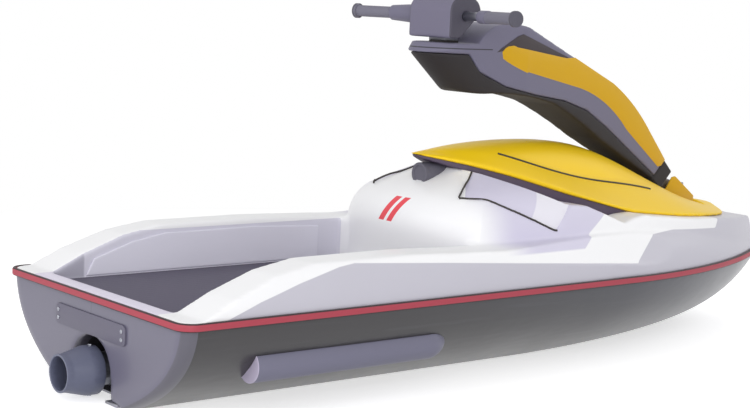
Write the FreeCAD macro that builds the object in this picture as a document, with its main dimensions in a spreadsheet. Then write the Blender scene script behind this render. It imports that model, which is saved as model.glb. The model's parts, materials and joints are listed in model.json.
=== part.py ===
"""A stand-up personal watercraft, built as an assembly of separate pieces.

Lengths are millimetres and angles are degrees.  X runs to the bow, Y to port and Z up.  A station
is a distance forward of the transom.  What belongs to the stern is placed by its station, and the
cowl, hood, engine and steering pole by their distance back from the bow, so that a longer hull gets
a longer tray.  Every piece is moved aft by half the overall length, so that the origin lies at the
middle of the underside.
"""
import FreeCAD
import Part
import Sketcher
import math
import os

os.makedirs("parts", exist_ok=True)
doc = FreeCAD.newDocument("Watercraft")

# ---------------------------------------------------------------- driving dimensions
SIZES = (
    # alias, value, what it sets
    ("hull_len", 2205, "transom to bow tip along the bond line"),
    ("half_beam", 372, "widest half breadth at the bond line"),
    ("stern_round", 31, "rounding of the transom's corners, as seen from above"),
    ("bond_z", 217, "height of the bond line between hull and deck"),
    ("rail_height", 18, "height of the rub rail"),
    ("rail_out", 9, "how far the rub rail stands out"),
    ("seat_gap", 0.3, "gap between pieces that seat on each other without being bonded"),
    ("run_gap", 0.05, "radial running clearance of a pin or shaft in its bore"),
    ("free_gap", 6, "clearance between pieces that move past each other"),
    ("sill_deep", 45, "depth of the tray's rear sill"),
    ("tray_back", 1333, "tray's front corners, back from the bow"),
    ("tray_half", 258, "half width of the tray"),
    ("floor_drop", 15, "tray floor below the bond line"),
    ("liner_skin", 14, "thickness of the tray liner"),
    ("mat_thick", 6, "thickness of the tray mat"),
    ("pad_thick", 5, "thickness of the side pads"),
    ("pump_z", 58, "height of the pump's axis"),
    ("pump_radius", 51, "outer radius of the pump housing"),
    ("pump_wall", 5, "wall of the pump housing"),
    ("pump_front", 330, "station of the pump housing's front end"),
    ("pump_back", 40, "station where the outlet cone begins"),
    ("outlet_cone", 50, "length of the outlet cone"),
    ("outlet_radius", 36, "outer radius of the pump outlet"),
    ("outlet_reach", 18, "how far the outlet stands aft of the transom"),
    ("hub_radius", 18, "radius of the hubs of stator and impeller"),
    ("stator_back", 110, "station of the stator's rear edge"),
    ("stator_len", 85, "length of the stator vanes"),
    ("hub_tail", 55, "length of the stator hub's tail cone"),
    ("vane_thick", 4, "thickness of a stator vane"),
    ("tunnel_half", 82, "half width and arch radius of the pump tunnel"),
    ("tunnel_axis", 50, "height of the arch's axis in the pump tunnel"),
    ("nozzle_reach", 75, "how far the steering nozzle's tail stands aft of the transom"),
    ("nozzle_front", 10, "station of the steering nozzle's front edge"),
    ("nozzle_waist", 15, "where the nozzle's cone begins, aft of the transom"),
    ("nozzle_radius", 54, "outer radius of the steering nozzle's front edge"),
    ("tail_radius", 42, "outer radius of the steering nozzle's tail"),
    ("tail_ring", 12, "length of the straight ring at the nozzle's tail"),
    ("nozzle_wall", 5, "wall of the steering nozzle"),
    ("steer_bolt", 5, "radius of the steering nozzle's pivot bolts"),
    ("bolt_head", 3, "how far a pivot bolt stands out of the nozzle"),
    ("ear_radius", 12, "radius of the pump outlet's pivot ears"),
    ("ear_gap", 2, "gap between a pivot ear and the steering nozzle"),
    ("shaft_radius", 12, "radius of the drive shaft"),
    ("impeller_back", 215, "station of the impeller's rear face"),
    ("impeller_len", 72, "length of the impeller's hub"),
    ("blade_gap", 1.5, "gap between the impeller's blades and the housing"),
    ("blade_thick", 4, "thickness of an impeller blade"),
    ("blade_root_chord", 78, "chord of an impeller blade at the hub"),
    ("blade_tip_chord", 96, "chord of an impeller blade at the tip"),
    ("blade_root_lean", 38, "lean of an impeller blade from the shaft at the hub"),
    ("blade_tip_lean", 62, "lean of an impeller blade from the shaft at the tip"),
    ("duct_half", 52, "half width of the intake duct"),
    ("duct_front", 820, "front station of the intake opening"),
    ("duct_back", 430, "rear station of the intake opening"),
    ("plate_thick", 6, "thickness of the ride plate and of the intake grate"),
    ("plate_half", 118, "half width of the ride plate"),
    ("notch_len", 48, "length of the notch in the ride plate below the steering nozzle"),
    ("notch_half", 68, "half width of the notch in the ride plate"),
    ("grate_rim", 14, "width of the intake grate's rim"),
    ("grate_bar", 8, "width of a grate bar"),
    ("bay_back", 1135, "engine bay's rear wall, back from the bow"),
    ("bay_floor", 40, "height of the engine bay's floor"),
    ("engine_len", 300, "length of the engine"),
    ("engine_half", 120, "half width of the engine"),
    ("engine_height", 270, "height of the engine"),
    ("bay_gap", 12, "gap between the engine and the walls of its bay"),
    ("lip_height", 8, "height of the hood's edge lip"),
    ("rim_inset", 9, "how far the hood's rim strip stands inside its edge"),
    ("scoop_deep", 10, "depth of the recess in the cowl's side"),
    ("scoop_trim", 6, "thickness of the insert in the cowl's side recess"),
    ("latch_radius", 28, "radius of the hood latch knob"),
    ("latch_back", 1280, "rear face of the hood latch knob, back from the bow"),
    ("latch_rise", 236, "hood latch knob's axis above the bond line"),
    ("pivot_back", 337, "steering pole's pivot, back from the bow"),
    ("pivot_rise", 168, "steering pole's pivot above the bond line"),
    ("pin_radius", 8, "radius of the pole's pivot pin"),
    ("barrel_radius", 20, "radius of the pole foot's barrel"),
    ("foot_half", 20, "half width of the pole foot's tongue"),
    ("foot_height", 32, "height of the pole foot's tongue"),
    ("lug_thick", 12, "thickness of a bracket lug"),
    ("cover_wall", 5, "wall of the bracket cover"),
    ("bracket_drop", 50, "bracket's base below the pivot"),
    ("base_thick", 10, "thickness of the bracket's base"),
    ("well_half", 62, "half width of the well that the pole sinks into"),
    ("well_back", 565, "rear end of the pole's well, back from the bow"),
    ("well_front", 255, "front end of the pole's well, back from the bow"),
    ("pole_width", 100, "half width that the pole's plan outline is drawn within"),
    ("tip_lean", 49, "lean of the head's tip below its rearmost point, in degrees"),
    ("rim_lean", 32, "lean of the head's tip above its rearmost point, in degrees"),
    ("collar_round", 8, "rounding of the collar's edges"),
    ("collar_len", 50, "length of the collar at the pole's foot"),
    ("collar_half", 50, "half width of the collar at the pole's foot"),
    ("inlay_deep", 4, "depth of the stripes let into the pole"),
    ("head_rise", 394, "flat top of the pole's head above the pivot"),
    ("head_over", 92, "head's tip behind the steering axis"),
    ("steer_back", 898, "handlebar's steering axis, back from the pivot"),
    ("stem_radius", 14, "radius of the steering stem"),
    ("stem_deep", 40, "depth of the steering bearing in the pole's head"),
    ("stem_gap", 6, "gap between the stem's end and the under pad"),
    ("bearing_radius", 26, "outer radius of the steering bearing"),
    ("flange_radius", 36, "radius of the steering bearing's flange"),
    ("flange_thick", 5, "thickness of the steering bearing's flange"),
    ("bar_rise", 66, "handlebar above the pole's head"),
    ("bar_radius", 11, "radius of the handlebar tube"),
    ("bar_wall", 2.5, "wall of the handlebar tube"),
    ("bar_half", 292, "half length of the handlebar tube"),
    ("bar_sweep", 42, "how far the handlebar's ends are swept back"),
    ("bend_half", 86, "half length of the handlebar's straight middle"),
    ("bend_radius", 60, "radius of the handlebar's bends"),
    ("clamp_half", 30, "half width of the handlebar clamp"),
    ("clamp_wall", 9, "wall of the clamp round the handlebar"),
    ("pad_radius", 50, "half depth of the bar cover and height above the bar"),
    ("pad_half", 78, "half width of the bar cover"),
    ("grip_radius", 14.5, "radius of a grip"),
    ("grip_len", 118, "length of a grip"),
    ("grip_cap", 19, "radius of a grip's end cap"),
    ("cap_len", 9, "length of a grip's end cap"),
    ("cap_end", 4, "how far a grip's end cap stands past the tube"),
    ("switch_root", 27, "radius of the switch housing beside the bar cover"),
    ("switch_tip", 19, "radius of the switch housing beside the grip"),
    ("throttle_radius", 16, "radius of the throttle housing"),
    ("throttle_len", 34, "length of the throttle housing"),
    ("throttle_reach", 32, "throttle housing's front face forward of the bar"),
    ("lever_len", 92, "length of the throttle lever"),
    ("lever_thick", 8, "thickness of the throttle lever"),
    ("lever_half", 6, "half height of the throttle lever"),
    ("sponson_back", 190, "rear station of the sponsons"),
    ("sponson_len", 535, "length of the sponsons"),
    ("sponson_radius", 37, "radius of the sponsons' half round"),
    ("sponson_nose", 60, "length of the rounded front end of a sponson"),
    ("sponson_z", 112, "height of the sponsons' axis"),
    ("sponson_inset", 54, "sponsons' axis inside the beam"),
    ("panel_half", 148, "half width of the panel on the transom"),
    ("panel_height", 45, "height of the panel on the transom"),
    ("panel_z", 136, "lower edge of the panel on the transom"),
    ("panel_thick", 4, "thickness of the panel on the transom"),
    ("panel_round", 12, "corner radius of the panel on the transom"),
    ("eye_back", 105, "bow eye's hole, back from the bow"),
    ("eye_z", 78, "height of the bow eye's hole"),
    ("eye_bore", 10, "radius of the bow eye's hole"),
    ("eye_rim", 10, "width of metal round the bow eye's hole"),
    ("eye_thick", 12, "thickness of the bow eye"),
)

sheet = doc.addObject("Spreadsheet::Sheet", "Sizes")
sheet.Label = "driving dimensions"
for row, (alias, value, note) in enumerate(SIZES, start=1):
    sheet.set("A%d" % row, note)
    sheet.set("B%d" % row, str(value))
    sheet.setAlias("B%d" % row, alias)
doc.recompute()


class Size:
    """A length that keeps both its value and the sheet expression that gives it."""

    def __init__(self, value, text):
        self.value = float(value)
        self.text = text

    def __float__(self):
        return self.value

    def _join(self, other, sign, value):
        other_text = other.text if isinstance(other, Size) else repr(other)
        return Size(value, "(%s %s %s)" % (self.text, sign, other_text))

    def __add__(self, other):
        return self._join(other, "+", self.value + float(other))

    def __sub__(self, other):
        return self._join(other, "-", self.value - float(other))

    def __mul__(self, other):
        return self._join(other, "*", self.value * float(other))

    def __truediv__(self, other):
        return self._join(other, "/", self.value / float(other))

    def __neg__(self):
        return Size(-self.value, "(0 - %s)" % self.text)


class Sizes:
    """The sheet's values by name."""


size = Sizes()
for alias, value, note in SIZES:
    setattr(size, alias, Size(sheet.get(alias), "Sizes." + alias))

zero = Size(0, "0")
mid_x = (size.hull_len + size.rail_out - size.nozzle_reach) / 2
bow = size.hull_len
rail_low = size.bond_z - size.rail_height / 2
rail_top = size.bond_z + size.rail_height / 2
tray_floor = size.bond_z - size.floor_drop
tray_end = bow - size.tray_back
pivot_x = bow - size.pivot_back
pivot_z = size.bond_z + size.pivot_rise
head_z = pivot_z + size.head_rise
pole_reach = size.steer_back + size.head_over
steer_x = pivot_x - size.steer_back
bar_z = head_z + size.bar_rise
throat = size.pump_radius - size.pump_wall
lug_in = size.foot_half + size.seat_gap
lug_out = lug_in + size.lug_thick
cover_out = lug_out + size.cover_wall
bracket_z = pivot_z - size.bracket_drop
base_low = bracket_z - size.base_thick
bay_x = bow - size.bay_back
engine_x = bay_x + size.bay_gap
mount_low = head_z + size.flange_thick + size.seat_gap
nodes = []

CLEAR_Z = 900
CLEAR_HALF = 500


# ---------------------------------------------------------------- helpers: document objects
def vec(x, y, z):
    return FreeCAD.Vector(float(x), float(y), float(z))


def keep(obj, label):
    """Give a finished sub-part its name and put it on the list of nodes."""
    obj.Label = label
    nodes.append(obj)
    return obj


def feature(name, shape):
    """A shape made in code at its stations; its Placement moves it to the frame."""
    obj = doc.addObject("Part::Feature", name)
    obj.Shape = shape
    obj.Placement = FreeCAD.Placement(vec(-mid_x, 0, 0), FreeCAD.Rotation())
    return obj


def bind(obj, **sizes):
    """Bind an object's properties to the sheet."""
    for prop, length in sizes.items():
        obj.setExpression(prop, length.text)


def place(obj, x, y, z, turn):
    """Bind an object's place to the sheet; x is a station."""
    obj.Placement = FreeCAD.Placement(vec(0, 0, 0), turn)
    for prop, length in (("x", x - mid_x), ("y", y), ("z", z)):
        obj.setExpression("Placement.Base." + prop, length.text)
    return obj


UPRIGHT = FreeCAD.Rotation()
ALONG_X = FreeCAD.Rotation(vec(0, 1, 0), 90)
ALONG_Y = FreeCAD.Rotation(vec(1, 0, 0), -90)


def cylinder(name, radius, length, x, y, z, turn=UPRIGHT):
    obj = doc.addObject("Part::Cylinder", name)
    bind(obj, Radius=radius, Height=length)
    return place(obj, x, y, z, turn)


def box(name, x_low, x_high, half, z_low, z_high):
    """A box across the boat, between two stations and two heights."""
    obj = doc.addObject("Part::Box", name)
    bind(obj, Length=x_high - x_low, Width=half * 2, Height=z_high - z_low)
    return place(obj, x_low, -half, z_low, UPRIGHT)


def cut(name, base, *tools):
    """Base without its tools."""
    obj = doc.addObject("Part::Cut", name)
    obj.Base = base
    obj.Tool = tools[0] if len(tools) == 1 else fuse(name + "_tools", *tools)
    obj.Refine = True
    return obj


def fuse(name, *shapes):
    obj = doc.addObject("Part::MultiFuse", name)
    obj.Shapes = list(shapes)
    return obj


def common(name, *shapes):
    obj = doc.addObject("Part::MultiCommon", name)
    obj.Shapes = list(shapes)
    return obj


# ---------------------------------------------------------------- helpers: PartDesign bodies
def new_body(label, x=zero, y=zero, z=zero):
    """A body whose own origin lies at a station, an offset to port and a height."""
    body = doc.addObject("PartDesign::Body", label)
    place(body, x, y, z, UPRIGHT)
    return keep(body, label)


def origin_part(body, role):
    """An origin plane or axis of a body, such as XZ_Plane or X_Axis."""
    return next(part for part in body.Origin.OriginFeatures if part.Role == role)


def new_sketch(body, role, name, offset=zero, turn=0):
    """A sketch on one of the body's planes, moved along its normal and turned in its plane."""
    sketch = body.newObject("Sketcher::SketchObject", name)
    sketch.AttachmentSupport = [(origin_part(body, role), "")]
    sketch.MapMode = "FlatFace"
    sketch.AttachmentOffset = FreeCAD.Placement(vec(0, 0, offset), FreeCAD.Rotation(vec(0, 0, 1), turn))
    sketch.setExpression("AttachmentOffset.Base.z", offset.text)
    return sketch


def outline(body, role, name, corners, offset=zero, turn=0):
    """A closed sketch of straight sides; both dimensions of every corner are bound to the sheet."""
    sketch = new_sketch(body, role, name, offset, turn)
    ends = corners[1:] + corners[:1]
    for (xa, ya), (xb, yb) in zip(corners, ends):
        sketch.addGeometry(Part.LineSegment(vec(xa, ya, 0), vec(xb, yb, 0)), False)
    count = len(corners)
    for index in range(count):
        sketch.addConstraint(Sketcher.Constraint("Coincident", index, 2, (index + 1) % count, 1))
    for index, corner in enumerate(corners):
        for kind, length in zip(("DistanceX", "DistanceY"), corner):
            rule = Sketcher.Constraint(kind, -1, 1, index, 1, float(length))
            number = sketch.addConstraint(rule)
            sketch.setExpression("Constraints[%d]" % number, length.text)
    return sketch


def rectangle(body, role, name, low_x, high_x, low_y, high_y, offset=zero):
    corners = [(low_x, low_y), (high_x, low_y), (high_x, high_y), (low_x, high_y)]
    return outline(body, role, name, corners, offset)


def circle(body, role, name, x, y, radius, offset=zero):
    """A sketch of one circle with its centre and radius bound to the sheet."""
    sketch = new_sketch(body, role, name, offset)
    ring = Part.Circle(vec(x, y, 0), vec(0, 0, 1), float(radius))
    sketch.addGeometry(ring, False)
    rules = (("DistanceX", x), ("DistanceY", y))
    for kind, length in rules:
        number = sketch.addConstraint(Sketcher.Constraint(kind, -1, 1, 0, 3, float(length)))
        sketch.setExpression("Constraints[%d]" % number, length.text)
    number = sketch.addConstraint(Sketcher.Constraint("Radius", 0, float(radius)))
    sketch.setExpression("Constraints[%d]" % number, radius.text)
    return sketch


def pad(body, sketch, length, both=False, reverse=False):
    obj = body.newObject("PartDesign::Pad", sketch.Name + "_pad")
    obj.Profile = sketch
    bind(obj, Length=length)
    obj.Midplane = both
    obj.Reversed = reverse
    body.Tip = obj
    return obj


def pocket(body, sketch, both=True, reverse=False):
    """Cut a sketch right through the body, both ways or one way."""
    obj = body.newObject("PartDesign::Pocket", sketch.Name + "_pocket")
    obj.Profile = sketch
    obj.Type = "ThroughAll"
    obj.Midplane = both
    obj.Reversed = reverse
    body.Tip = obj
    return obj


def revolve(body, sketch, kind="PartDesign::Revolution"):
    """Turn a sketch, or with a Groove cut it, about the sketch's own horizontal axis."""
    obj = body.newObject(kind, sketch.Name + "_turn")
    obj.Profile = sketch
    obj.ReferenceAxis = (sketch, ["H_Axis"])
    obj.Angle = 360
    body.Tip = obj
    return obj


def polar(body, original, count):
    """Copies of a feature round the body's X axis."""
    obj = body.newObject("PartDesign::PolarPattern", original.Name + "_ring")
    obj.Originals = [original]
    obj.Axis = (origin_part(body, "X_Axis"), [""])
    obj.Angle = 360
    obj.Occurrences = count
    body.Tip = obj
    return obj


def round_edges(body, radius, choose):
    """Fillet those edges of the body that choose picks by their two end points."""
    doc.recompute()
    base = body.Tip
    names = []
    for number, edge in enumerate(base.Shape.Edges, start=1):
        ends = [vertex.Point for vertex in edge.Vertexes]
        if len(ends) == 2 and choose(ends[0], ends[1]):
            names.append("Edge%d" % number)
    obj = body.newObject("PartDesign::Fillet", base.Name + "_round")
    obj.Base = (base, names)
    bind(obj, Radius=radius)
    body.Tip = obj
    return obj


# ---------------------------------------------------------------- helpers: code-made outlines
def line(first, last):
    return Part.LineSegment(first, last).toShape()


def arc(first, middle, last):
    return Part.Arc(first, middle, last).toShape()


def route(rows):
    """Edges through a closed list of (vector, is_bend); an arc runs through each bend's point."""
    edges = []
    count = len(rows)
    index = 0
    while index < count:
        here = rows[index][0]
        after, bend = rows[(index + 1) % count]
        if bend:
            edges.append(arc(here, after, rows[(index + 2) % count][0]))
            index += 2
        else:
            edges.append(line(here, after))
            index += 1
    return Part.Wire(edges)


def side_prism(wire_rows, half):
    """Prism across the boat from a closed side profile of (station, height) or (x, z, is_bend)."""
    rows = [(vec(row[0], -float(half), row[1]), len(row) > 2 and row[2]) for row in wire_rows]
    return Part.Face(route(rows)).extrude(vec(0, 2 * float(half), 0))


def plan_prism(wire, z_low, z_high):
    """Prism upwards from a closed plan outline drawn at height 0."""
    face = Part.Face(wire)
    face.translate(vec(0, 0, z_low))
    return face.extrude(vec(0, 0, float(z_high) - float(z_low)))


def mirror_y(shape):
    return shape.mirror(vec(0, 0, 0), vec(0, 1, 0))


def height_on(profile, x):
    """Height of an open side profile, a list of (station, height), at a station."""
    for (xa, za), (xb, zb) in zip(profile, profile[1:]):
        if xa <= x <= xb:
            return za + (zb - za) * (x - xa) / (xb - xa)
    raise ValueError("station outside the profile")


def above(profile):
    """Everything above an open side profile."""
    top = [(profile[-1][0], CLEAR_Z), (profile[0][0], CLEAR_Z)]
    return side_prism(list(profile) + top, CLEAR_HALF)


def from_bow(rows):
    """(distance back from the bow, height above the bond line) as (station, height)."""
    return [(float(bow) - back, float(size.bond_z) + rise) for back, rise in rows]


# ---------------------------------------------------------------- hull lines
# Where the outline's arcs meet, as shares of its length and half breadth.
STERN = (0.014, 0.995)
SIDE = (0.3, 1.0)
SHOULDER = (0.6, 0.99)
QUARTER = (0.9, 0.545)
NOSE = (0.973, 0.29)
# Share of a rounded corner's reach, back along each side, at the middle of its arc.
BEND = math.sqrt(0.5)


def waterline(length, half, z):
    """Plan outline at one height: transom and its corners, side arcs, quarter arcs and the nose arc."""
    def point(share, side):
        return vec(float(length) * share[0], side * float(half) * share[1], z)

    def corner(share, side):
        """A point on the rounded corner of the transom, a share of the rounding from each side."""
        return point(STERN, side) + vec(-share * point(STERN, 1).x, (share - 1) * side * stern_round, 0)

    stern_round = float(size.stern_round)
    return Part.Wire([
        line(corner(1, -1) + vec(0, stern_round, 0), corner(1, 1) - vec(0, stern_round, 0)),
        arc(corner(1, 1) - vec(0, stern_round, 0), corner(BEND, 1), point(STERN, 1)),
        arc(point(STERN, 1), point(SIDE, 1), point(SHOULDER, 1)),
        arc(point(SHOULDER, 1), point(QUARTER, 1), point(NOSE, 1)),
        arc(point(NOSE, 1), vec(length, 0, z), point(NOSE, -1)),
        arc(point(NOSE, -1), point(QUARTER, -1), point(SHOULDER, -1)),
        arc(point(SHOULDER, -1), point(SIDE, -1), point(STERN, -1)),
        arc(point(STERN, -1), corner(BEND, -1), corner(1, -1) + vec(0, stern_round, 0)),
    ])


HULL_LINES = (
    # share of the height to the rub rail, tip behind the bow, inset from the beam
    (0.0, 445, 222),
    (0.27, 190, 112),
    (0.57, 85, 40),
    (1.0, 0, 0),
)
DECK_LINES = (
    # height above the rub rail, tip behind the bow, inset from the beam
    (0, 0, 0),
    (47, 55, 8),
    (80, 120, 22),
    (100, 215, 40),
)


def lines_loft(rows):
    """Solid through the waterlines of (height, tip behind the bow, inset from the beam)."""
    wires = [waterline(float(bow) - back, float(size.half_beam) - inset, z) for z, back, inset in rows]
    return Part.makeLoft(wires, True, False)


plan = waterline(bow, size.half_beam, 0)
hull_lines = lines_loft([(share * float(rail_low), back, inset) for share, back, inset in HULL_LINES])
hull_lines = feature("hull_lines", hull_lines.fuse(plan_prism(plan, rail_low, size.bond_z)))
deck_lines = lines_loft([(float(rail_top) + rise, back, inset) for rise, back, inset in DECK_LINES])
deck_lines = feature("deck_lines", deck_lines.fuse(plan_prism(plan, size.bond_z, rail_top)))

# ---------------------------------------------------------------- cowl and hood lines
COWL_MID = 855
COWL_LINES = (
    # height above the tray floor; rear centre, corner, front, back from the bow;
    # half widths at the corner, the middle and the front, as shares of the half beam
    (0, 1415, 1337, 145, 0.694, 0.887, 0.403),
    (138, 1383, 1312, 160, 0.667, 0.823, 0.363),
    (213, 1335, 1270, 195, 0.551, 0.72, 0.296),
    (248, 1260, 1220, 215, 0.39, 0.645, 0.242),
    (313, 1205, 1165, 235, 0.242, 0.538, 0.188),
)
HOOD_EDGE = (
    # back from the bow, height above the bond line: the hood's lower edge
    (1355, 291),
    (1317, 286),
    (1205, 263),
    (1105, 238),
    (955, 193),
    (755, 143),
    (555, 123),
    (355, 108),
    (225, 98),
    (-95, 83),
)
RIM_EDGE = (
    # back from the bow, height above the bond line: lower edge of the rim strip under the hood
    (1505, 306),
    (1305, 278),
    (1209, 250),
    (1138, 222),
    (1042, 182),
    (978, 177),
    (860, 131),
    (815, 142),
    (770, 146),
)
HOOD_LINES = (
    # back from the bow; half width as a share of the half beam; crown above the bond line;
    # crease: share of the half width and height above the bond line
    (1319, 0.022, 290, 0.5, 288.5),
    (1205, 0.228, 303, 0.5, 294),
    (1105, 0.363, 312, 0.55, 289),
    (955, 0.524, 316, 0.55, 255),
    (755, 0.632, 297, 0.55, 220),
    (555, 0.618, 227, 0.55, 191),
    (355, 0.484, 153, 0.55, 136),
    (225, 0.282, 129, 0.5, 118),
    (155, 0.081, 115, 0.5, 111),
)
SCOOP = (
    # back from the bow, height above the bond line: outline of the recess in the cowl's side
    (1299, 194),
    (1216, 250),
    (1190, 300),
    (1000, 215),
    (1041, 174),
    (1098, 122),
    (1182, 161),
    (1258, 195),
)
hood_edge = from_bow(HOOD_EDGE)
rim_edge = from_bow(RIM_EDGE)
lid_line = rim_edge + [point for point in hood_edge if point[0] > rim_edge[-1][0]]


def cowl_loft(inset):
    """Cowl through its waterlines, drawn in by inset all round."""
    beam = float(size.half_beam)
    x_mid = float(bow) - COWL_MID
    wires = []
    for rise, rear, corner, front, corner_share, mid_share, front_share in COWL_LINES:
        z = float(tray_floor) + rise
        x_corner = float(bow) - corner + inset
        x_front = float(bow) - front
        y_corner = beam * corner_share - inset
        y_mid = beam * mid_share - inset
        y_front = beam * front_share - inset
        rear_middle = vec(float(bow) - rear + inset, 0, z)
        wires.append(Part.Wire([
            arc(vec(x_corner, -y_corner, z), rear_middle, vec(x_corner, y_corner, z)),
            arc(vec(x_corner, y_corner, z), vec(x_mid, y_mid, z), vec(x_front, y_front, z)),
            line(vec(x_front, y_front, z), vec(x_front, -y_front, z)),
            arc(vec(x_front, -y_front, z), vec(x_mid, -y_mid, z), vec(x_corner, -y_corner, z)),
        ]))
    return Part.makeLoft(wires, True, False)


def hood_loft(inset, low_drop):
    """Hood sections: flat underside, upright lip, sloping flank up to the crease, arc over the crown."""
    wires = []
    for back, half_share, crown_rise, crease_share, crease_rise in HOOD_LINES:
        x = float(bow) - back
        edge = height_on(hood_edge, x)
        crown = float(size.bond_z) + crown_rise
        wide = max(float(size.half_beam) * half_share - inset, 2)
        lip = min(edge + float(size.lip_height), crown - 2)
        outer = [vec(x, wide, edge - low_drop), vec(x, wide, lip),
                 vec(x, wide * crease_share, float(size.bond_z) + crease_rise)]
        inner = [vec(point.x, -point.y, point.z) for point in outer]
        wires.append(Part.Wire([
            line(inner[0], outer[0]),
            line(outer[0], outer[1]),
            line(outer[1], outer[2]),
            arc(outer[2], vec(x, 0, crown), inner[2]),
            line(inner[2], inner[1]),
            line(inner[1], inner[0]),
        ]))
    return Part.makeLoft(wires, True, False)


cowl_shape = cowl_loft(0)
cowl = feature("cowl_lines", cowl_shape)
above_lid = feature("above_lid", above(lid_line))
pole_well = box("pole_well", bow - size.well_back, bow - size.well_front, size.well_half, base_low,
                zero + CLEAR_Z)

# ---------------------------------------------------------------- tray
GUNWALE = (
    # station, height above the bond line: top of the gunwale from the transom to the cowl
    (-20, 9),
    (45, 9),
    (120, 46),
    (230, 86),
    (330, 104),
    (600, 106),
)
GUNWALE_FRONT = (
    # forward of the tray's front corners, height above the bond line: beside the cowl
    (28, 96),
    (430, 112),
)
gunwale = [(x, float(size.bond_z) + rise) for x, rise in GUNWALE]
gunwale += [(float(tray_end) + x, float(size.bond_z) + rise) for x, rise in GUNWALE_FRONT]
above_gunwale = feature("above_gunwale", above(gunwale))
liner = box("liner", size.sill_deep - size.liner_skin, tray_end + size.liner_skin,
            size.tray_half + size.liner_skin, tray_floor - size.liner_skin, size.bond_z)
tray_hollow = box("tray_hollow", size.sill_deep, tray_end, size.tray_half, tray_floor, zero + CLEAR_Z)
mat_blank = box("mat_blank", size.sill_deep, tray_end, size.tray_half, tray_floor,
                tray_floor + size.mat_thick)
keep(cut("mat", mat_blank, cowl), "tray_mat")

SIDE_PAD = (
    # station, height above the bond line
    (130, -5),
    (150, 34),
    (250, 68),
    (340, 84),
    (600, 86),
)
PAD_END = (72, 78, -5)
pad_rows = [(x, float(size.bond_z) + rise) for x, rise in SIDE_PAD]
pad_rows += [(float(tray_end) - PAD_END[0], float(size.bond_z) + rise) for rise in PAD_END[1:]]
pad_band = feature("pad_band", side_prism(pad_rows, size.tray_half))
pad_space = box("pad_space", zero, tray_end, size.tray_half - size.pad_thick, zero, zero + CLEAR_Z)
keep(cut("pads", pad_band, pad_space), "side_pads")

# ---------------------------------------------------------------- pump tunnel, intake and engine bay
tunnel_arch = cylinder("tunnel_arch", size.tunnel_half, size.pump_front, zero, zero, size.tunnel_axis,
                       ALONG_X)
tunnel_base = box("tunnel_base", zero, size.pump_front, size.tunnel_half, zero, size.tunnel_axis)
plate_seat = box("plate_seat", zero, size.duct_back, size.plate_half, zero, size.plate_thick)
DUCT_ROOF = 60
duct = feature("duct", side_prism([
    (size.pump_front, size.plate_thick),
    (size.pump_front, size.pump_z + throat),
    (size.duct_back + DUCT_ROOF, size.pump_z + throat),
    (size.duct_front, size.plate_thick),
    (size.duct_front, zero),
    (size.duct_back, zero),
    (size.duct_back, size.plate_thick),
], size.duct_half))
grate_end = size.duct_front + size.grate_rim
grate_half = size.duct_half + size.grate_rim
grate_seat = box("grate_seat", size.duct_back, grate_end, grate_half, zero, size.plate_thick)
shaft_bore = cylinder("shaft_bore", size.shaft_radius + size.run_gap, bay_x - size.duct_back + 1,
                      size.duct_back, zero, size.pump_z, ALONG_X)
bay = box("engine_bay", bay_x, engine_x + size.engine_len + size.bay_gap, size.engine_half + size.bay_gap,
          size.bay_floor, size.bay_floor + size.engine_height + size.bay_gap)

# ---------------------------------------------------------------- hull, sponsons and rub rail
hull = cut("hull", hull_lines, liner, tunnel_arch, tunnel_base, plate_seat, duct, grate_seat, shaft_bore, bay)
keep(hull, "hull")
sponson_y = size.half_beam - size.sponson_inset
NOSE_BEND = (0.6, 0.82)
NOSE_END = 0.3
straight = float(size.sponson_len - size.sponson_nose)
nose = float(size.sponson_nose)
thick = float(size.sponson_radius)
sponson_wall = Part.Face(route([
    (vec(0, 0, 0), False),
    (vec(0, thick, 0), False),
    (vec(straight, thick, 0), False),
    (vec(straight + nose * NOSE_BEND[0], thick * NOSE_BEND[1], 0), True),
    (vec(straight + nose, thick * NOSE_END, 0), False),
    (vec(straight + nose, 0, 0), False),
]))
sponson_bars = []
for side, y in (("port", sponson_y), ("starboard", -sponson_y)):
    sponson_bar = feature("sponson_bar_" + side, sponson_wall.revolve(vec(0, 0, 0), vec(1, 0, 0), 360))
    sponson_bars.append(place(sponson_bar, size.sponson_back, y, size.sponson_z, UPRIGHT))
keep(cut("sponson_pair", fuse("sponson_bars", *sponson_bars), hull_lines), "sponsons")
rail_outer = feature("rail_outer", plan_prism(plan.makeOffset2D(float(size.rail_out)), rail_low, rail_top))
rail_inner = feature("rail_inner", plan_prism(plan, rail_low, rail_top))
keep(cut("rail", rail_outer, rail_inner), "rub_rail")

# ---------------------------------------------------------------- deck with its cowl
CREASE = (
    # station; crease: inset from the beam and height above the bond line; inset where the slope
    # above the crease meets the deck's top
    (520, 12, 97, 42),
    (1520, 12, 22, 67),
)
CREASE_TOP = 128
CREASE_OUT = 90
CREASE_FRONT = (
    # station, height above the bond line: how far forward the slope above the crease reaches
    (300, -20),
    (1440, -20),
    (1560, 150),
    (300, 150),
)


def crease_wedge():
    """What is cut off the starboard and port shoulder above the crease."""
    beam = float(size.half_beam)
    wires = []
    for x, inset, rise, top_inset in CREASE:
        foot = vec(x, beam - inset, float(size.bond_z) + rise)
        top = float(size.bond_z) + CREASE_TOP
        inner = vec(x, beam - top_inset, top)
        wires.append(Part.makePolygon([foot, inner, vec(x, beam + CREASE_OUT, top), foot]))
    wedge = Part.makeLoft(wires, True, True)
    reach = side_prism([(x, float(size.bond_z) + rise) for x, rise in CREASE_FRONT], CLEAR_HALF)
    wedge = wedge.common(reach)
    return wedge.fuse(mirror_y(wedge))


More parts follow.
